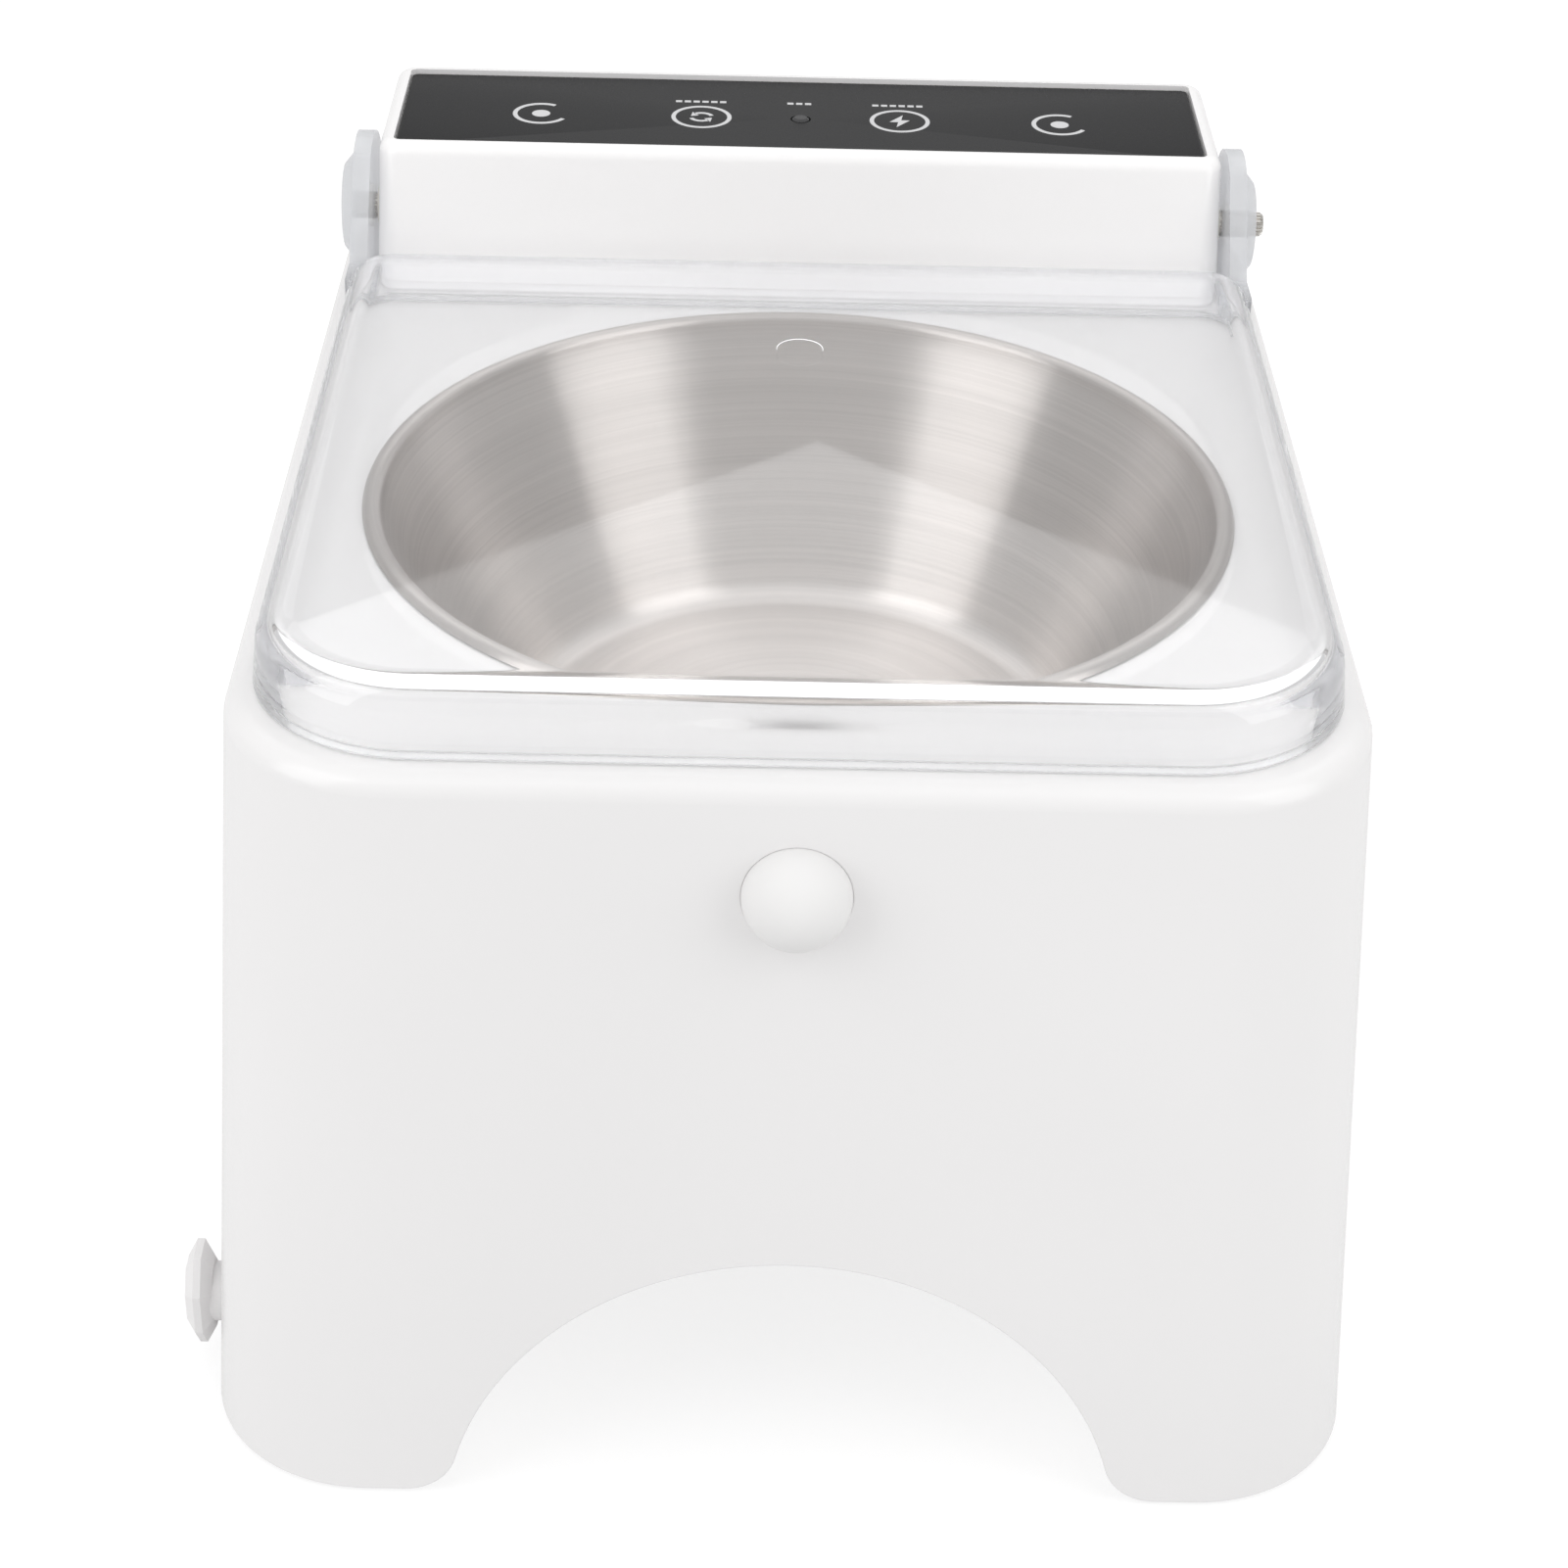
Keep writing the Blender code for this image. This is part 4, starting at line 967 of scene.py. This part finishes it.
def make_lid():
    """The clear cover: a shallow box with rounded edges, two ears, bosses and a gate mark.

    A ring just inside each fillet keeps the plate truly flat for reflections.
    """
    outer = [lid_ring(0.0, 0.0), lid_ring(LID_HEIGHT - LID_FILLET - 0.5, 0.0)]
    outer += [lid_ring(LID_HEIGHT - drop, inset) for inset, drop in quarter(LID_FILLET, 12)]
    outer.append(lid_ring(LID_HEIGHT, LID_FILLET + 0.5))
    lid = publish("clear_cover", loft(outer), CLEAR, "lid", "clear_lid", "lid")
    cavity_top = LID_HEIGHT - LID_WALL
    inner = [lid_ring(-2.0, LID_WALL + LID_FOOT_EXTRA),
             lid_ring(cavity_top - LID_INNER_FILLET - 0.4, LID_WALL)]
    inner += [lid_ring(cavity_top - drop, LID_WALL + inset)
              for inset, drop in quarter(LID_INNER_FILLET, 6)]
    inner.append(lid_ring(cavity_top, LID_WALL + LID_INNER_FILLET + 0.5))
    axis = (0, HINGE_Y, HINGE_Z)
    steps = [("DIFFERENCE", loft(inner))]
    for side in (-1, 1):
        inner_x, outer_x = side * EAR_INNER_X, side * EAR_OUTER_X
        steps.append(("UNION", prism(ear_outline(inner_x), (outer_x - inner_x, 0, 0))))
        start, end = sorted((side * (EAR_OUTER_X - 0.5), side * BOSS_FACE_X))
        first, last = (BOSS_ROOT_RADIUS, BOSS_RADIUS)[::side]
        boss = turned([(0, start), (first, start), (last, end), (0, end)], "X", axis, 64)
        steps.append(("UNION", boss))
    bore = SHAFT_RADIUS + GAP
    steps.append(("DIFFERENCE", rod(bore, EAR_INNER_X - 2, BOSS_FACE_X + 2, "X", axis, 40)))
    steps.append(("DIFFERENCE", rod(bore, -BOSS_FACE_X + 1.2, -EAR_INNER_X + 2, "X", axis, 40)))
    top = LID_Z + LID_HEIGHT
    dimple = turned(((0, top - 0.14), (GATE_RADIUS, top - 0.10),
                     (GATE_RADIUS + 0.48, top + 0.3), (0, top + 0.4)), "Z", (0, GATE_Y, 0), 64)
    steps.append(("DIFFERENCE", dimple))
    carve(lid, steps)
    soften(lid, 0.2, 3, 45)


# ---------------------------------------------------------------- head

def head_ring(z, inset=0.0):
    """The outline of the head cover at one height. Its front leans back."""
    share = (z - DECK_Z) / (HEAD_TOP_Z - DECK_Z)
    half = HEAD_HALF_BOTTOM + (HEAD_HALF_TOP - HEAD_HALF_BOTTOM) * share
    front = HEAD_FRONT_BOTTOM + (HEAD_FRONT_TOP - HEAD_FRONT_BOTTOM) * share
    rear = HEAD_REAR_BOTTOM + (HEAD_REAR_TOP - HEAD_REAR_BOTTOM) * share
    radius = max(HEAD_CORNER - inset, 1.2)
    return rounded_rectangle(half - inset, front + inset, rear - inset, radius, radius, z, 10)


def make_head():
    """The white cover behind the lid, hollow, with a recess for the black panel."""
    rings = [head_ring(DECK_Z + GAP)]
    rings += [head_ring(HEAD_TOP_Z - drop, inset) for inset, drop in quarter(HEAD_FILLET, 8)]
    head = publish("head", loft(rings), HEAD_WHITE_PAINTED_LIGHT, "frame", "white_shell", "head_cover")
    steps = [
        ("DIFFERENCE", loft([head_ring(DECK_Z - 3, HEAD_WALL),
                             head_ring(HEAD_CEILING_Z, HEAD_WALL)])),
        ("DIFFERENCE", loft([head_ring(PANEL_FLOOR_Z, PANEL_RIM),
                             head_ring(HEAD_TOP_Z + 3, PANEL_RIM)])),
        ("DIFFERENCE", rod(HINGE_HOLE_RADIUS, -95, 95, "X", (0, HINGE_Y, HINGE_Z), 48)),
        ("DIFFERENCE", rod(KEY_RADIUS + GAP, 150, 175, "Z", (0, KEY_Y, 0), 32)),
    ]
    for side in (-1, 1):
        steps.append(("DIFFERENCE", rod(LED_RADIUS + GAP, 150, 175, "Z",
                                        (side * LED_X, KEY_Y, 0), 32)))
    carve(head, steps)
    soften(head, 0.35, 3, 45)


def make_panel():
    """The black panel plate with its key hole."""
    low = PANEL_FLOOR_Z + GAP
    inset = PANEL_RIM + GAP
    top = low + PANEL_THICKNESS
    rings = [head_ring(low, inset), head_ring(top - 0.15, inset), head_ring(top, inset + 0.15)]
    panel = publish("panel_plate", loft(rings), PANEL, "frame", "panel_black", "panel_overlay")
    hole = rod(KEY_RADIUS + GAP, low - 3, low + 4, "Z", (0, KEY_Y, 0), 40)
    carve(panel, [("DIFFERENCE", hole)])


# ---------------------------------------------------------------- printed marks

def flat_shape(bm, points, x=0.0, y=0.0):
    """One flat printed shape on the panel, given round its edge."""
    outline = [Vector((x + px, y + py, MARK_Z)) for px, py in points]
    merge(bm, prism(outline, (0, 0, MARK_HEIGHT)))


def arc_band(bm, radius, width, start, end, x, y, steps):
    """A printed arc of one width. A full turn closes into a ring."""
    outer, inner = radius + width / 2, radius - width / 2
    for step in range(steps):
        first = math.radians(start + (end - start) * step / steps)
        last = math.radians(start + (end - start) * (step + 1) / steps)
        corners = [(outer * math.cos(first), outer * math.sin(first)),
                   (outer * math.cos(last), outer * math.sin(last)),
                   (inner * math.cos(last), inner * math.sin(last)),
                   (inner * math.cos(first), inner * math.sin(first))]
        flat_shape(bm, corners, x, y)


def make_marks():
    """Generic printed marks: two ringed symbols, two open rings and rows of dashes."""
    bm = bmesh.new()
    for side in (-1, 1):
        arc_band(bm, 5.5, 0.85, 0, 360, side * LED_X, KEY_Y, 64)
        arc_band(bm, 5.1, 0.9, 60, 330, side * END_MARK_X, KEY_Y, 48)
        arc_band(bm, 0.9, 1.8, 0, 360, side * END_MARK_X, KEY_Y, 32)
    # the charging mark: a bolt
    bolt = [(0.7, 3.2), (-2.0, -0.5), (-0.3, -0.5), (-0.7, -3.2), (2.0, 0.5), (0.3, 0.5)]
    flat_shape(bm, bolt, LED_X, KEY_Y)
    # the switch mark: two arrows that chase each other
    for start in (20, 200):
        arc_band(bm, 2.1, 0.8, start, start + 110, -LED_X, KEY_Y, 16)
        tip = math.radians(start + 150)
        root = math.radians(start + 105)
        head = [(3.1 * math.cos(root), 3.1 * math.sin(root)),
                (2.1 * math.cos(tip), 2.1 * math.sin(tip)),
                (1.0 * math.cos(root), 1.0 * math.sin(root))]
        flat_shape(bm, head, -LED_X, KEY_Y)
    # short rows of plain dashes where the captions are
    for x, count in ((-LED_X, 6), (0.0, 3), (LED_X, 6)):
        for number in range(count):
            left = x + (number - count / 2) * CAPTION_PITCH
            right, half = left + DASH_LENGTH, DASH_HALF_WIDTH
            flat_shape(bm, [(left, -half), (right, -half), (right, half), (left, half)],
                       0.0, CAPTION_Y)
    publish("panel_marks", bm, MARK, "frame", "panel_black")


# ---------------------------------------------------------------- small pieces

def make_dome():
    """The milky sensor lens: a half ball on a straight neck, with its flange inside."""

    def half_ball(radius, steps=20):
        points = [(0, PIR_WALL_Y - radius)]
        for step in range(1, steps + 1):
            angle = math.radians(90 * step / steps)
            points.append((radius * math.sin(angle), PIR_WALL_Y - radius * math.cos(angle)))
        return points

    inner = DOME_RADIUS - DOME_SHELL
    back = DOME_FLANGE_Y + DOME_FLANGE_THICKNESS
    profile = [*half_ball(DOME_RADIUS), (DOME_RADIUS, DOME_FLANGE_Y),
               (DOME_FLANGE_RADIUS, DOME_FLANGE_Y), (DOME_FLANGE_RADIUS, back),
               (inner, back), *reversed(half_ball(inner))]
    publish("sensor_lens", turned(profile, "Y", (0, 0, PIR_Z), 72), MILKY,
            "frame", "milky_plastic", "motion_dome")


def make_plug():
    """The soft plug of the charging socket: an eight-sided head, a stem and a tip."""
    face, neck = PLUG_FACE_X, PLUG_FACE_X + PLUG_HEAD
    centre = (0, SOCKET_Y, SOCKET_Z)
    half_side = math.pi / PLUG_SIDES
    corner = PLUG_HEAD_RADIUS / math.cos(half_side)
    head = turned([(0, face), (corner - 3.4, face), (corner, face + 1.7), (corner, neck - 1.7),
                   (corner - 3.4, neck), (0, neck)], "X", centre, PLUG_SIDES)
    bmesh.ops.rotate(head, verts=head.verts, cent=centre,
                     matrix=Matrix.Rotation(half_side, 3, "X"))
    for vert in head.verts:
        vert.co.y = SOCKET_Y + (vert.co.y - SOCKET_Y) * PLUG_HEAD_NARROW
    shoulder, tip = SOCKET_FACE_X - GAP, SOCKET_FACE_X + PLUG_TIP_LENGTH
    stem = turned([(0, neck - 0.6), (PLUG_STEM_RADIUS, neck - 0.6), (PLUG_STEM_RADIUS, shoulder),
                   (PLUG_TIP_RADIUS, shoulder), (PLUG_TIP_RADIUS, tip), (0, tip)],
                  "X", centre, 56)
    plug = publish("plug", head, SILICONE, "plug", "white_silicone", "charge_plug")
    carve(plug, [("UNION", stem)])
    soften(plug, 0.5, 4, 20)


def make_shaft():
    """The drive shaft, with straight knurling on the end outside the lid."""
    plain = [(SHAFT_RADIUS - 0.4, 56.5), (SHAFT_RADIUS, 56.9), (SHAFT_RADIUS, 84.8)]
    grooved = [(SHAFT_RADIUS, 85.2), (SHAFT_RADIUS, SHAFT_END_X - 0.6),
               (SHAFT_RADIUS - 0.45, SHAFT_END_X)]
    rings = [knurl_ring(radius, radius, x) for radius, x in plain]
    rings += [knurl_ring(radius, radius - KNURL_DEPTH, x) for radius, x in grooved]
    publish("shaft", loft(rings), NICKEL, "lid", "steel", "output_shaft", sharp=25)


def knurl_ring(tip, root, x):
    """One outline across the shaft, with teeth between the two radii."""
    points = []
    for tooth in range(KNURL_TEETH):
        for share, radius in ((0.0, tip), (0.42, tip), (0.58, root), (0.84, root)):
            angle = 2 * math.pi * (tooth + share) / KNURL_TEETH
            points.append(Vector((x, HINGE_Y + radius * math.cos(angle),
                                  HINGE_Z + radius * math.sin(angle))))
    return points


def dress_cad_nodes():
    for name, paint in CAD_PAINT.items():
        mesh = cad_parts[name].data
        mesh.materials.clear()
        mesh.materials.append(paint)


make_camera()
make_studio()
dress_cad_nodes()
make_body()
make_base_cover()
make_feet()
make_bowl()
make_lid()
make_head()
make_panel()
make_marks()
make_dome()
make_plug()
make_shaft()
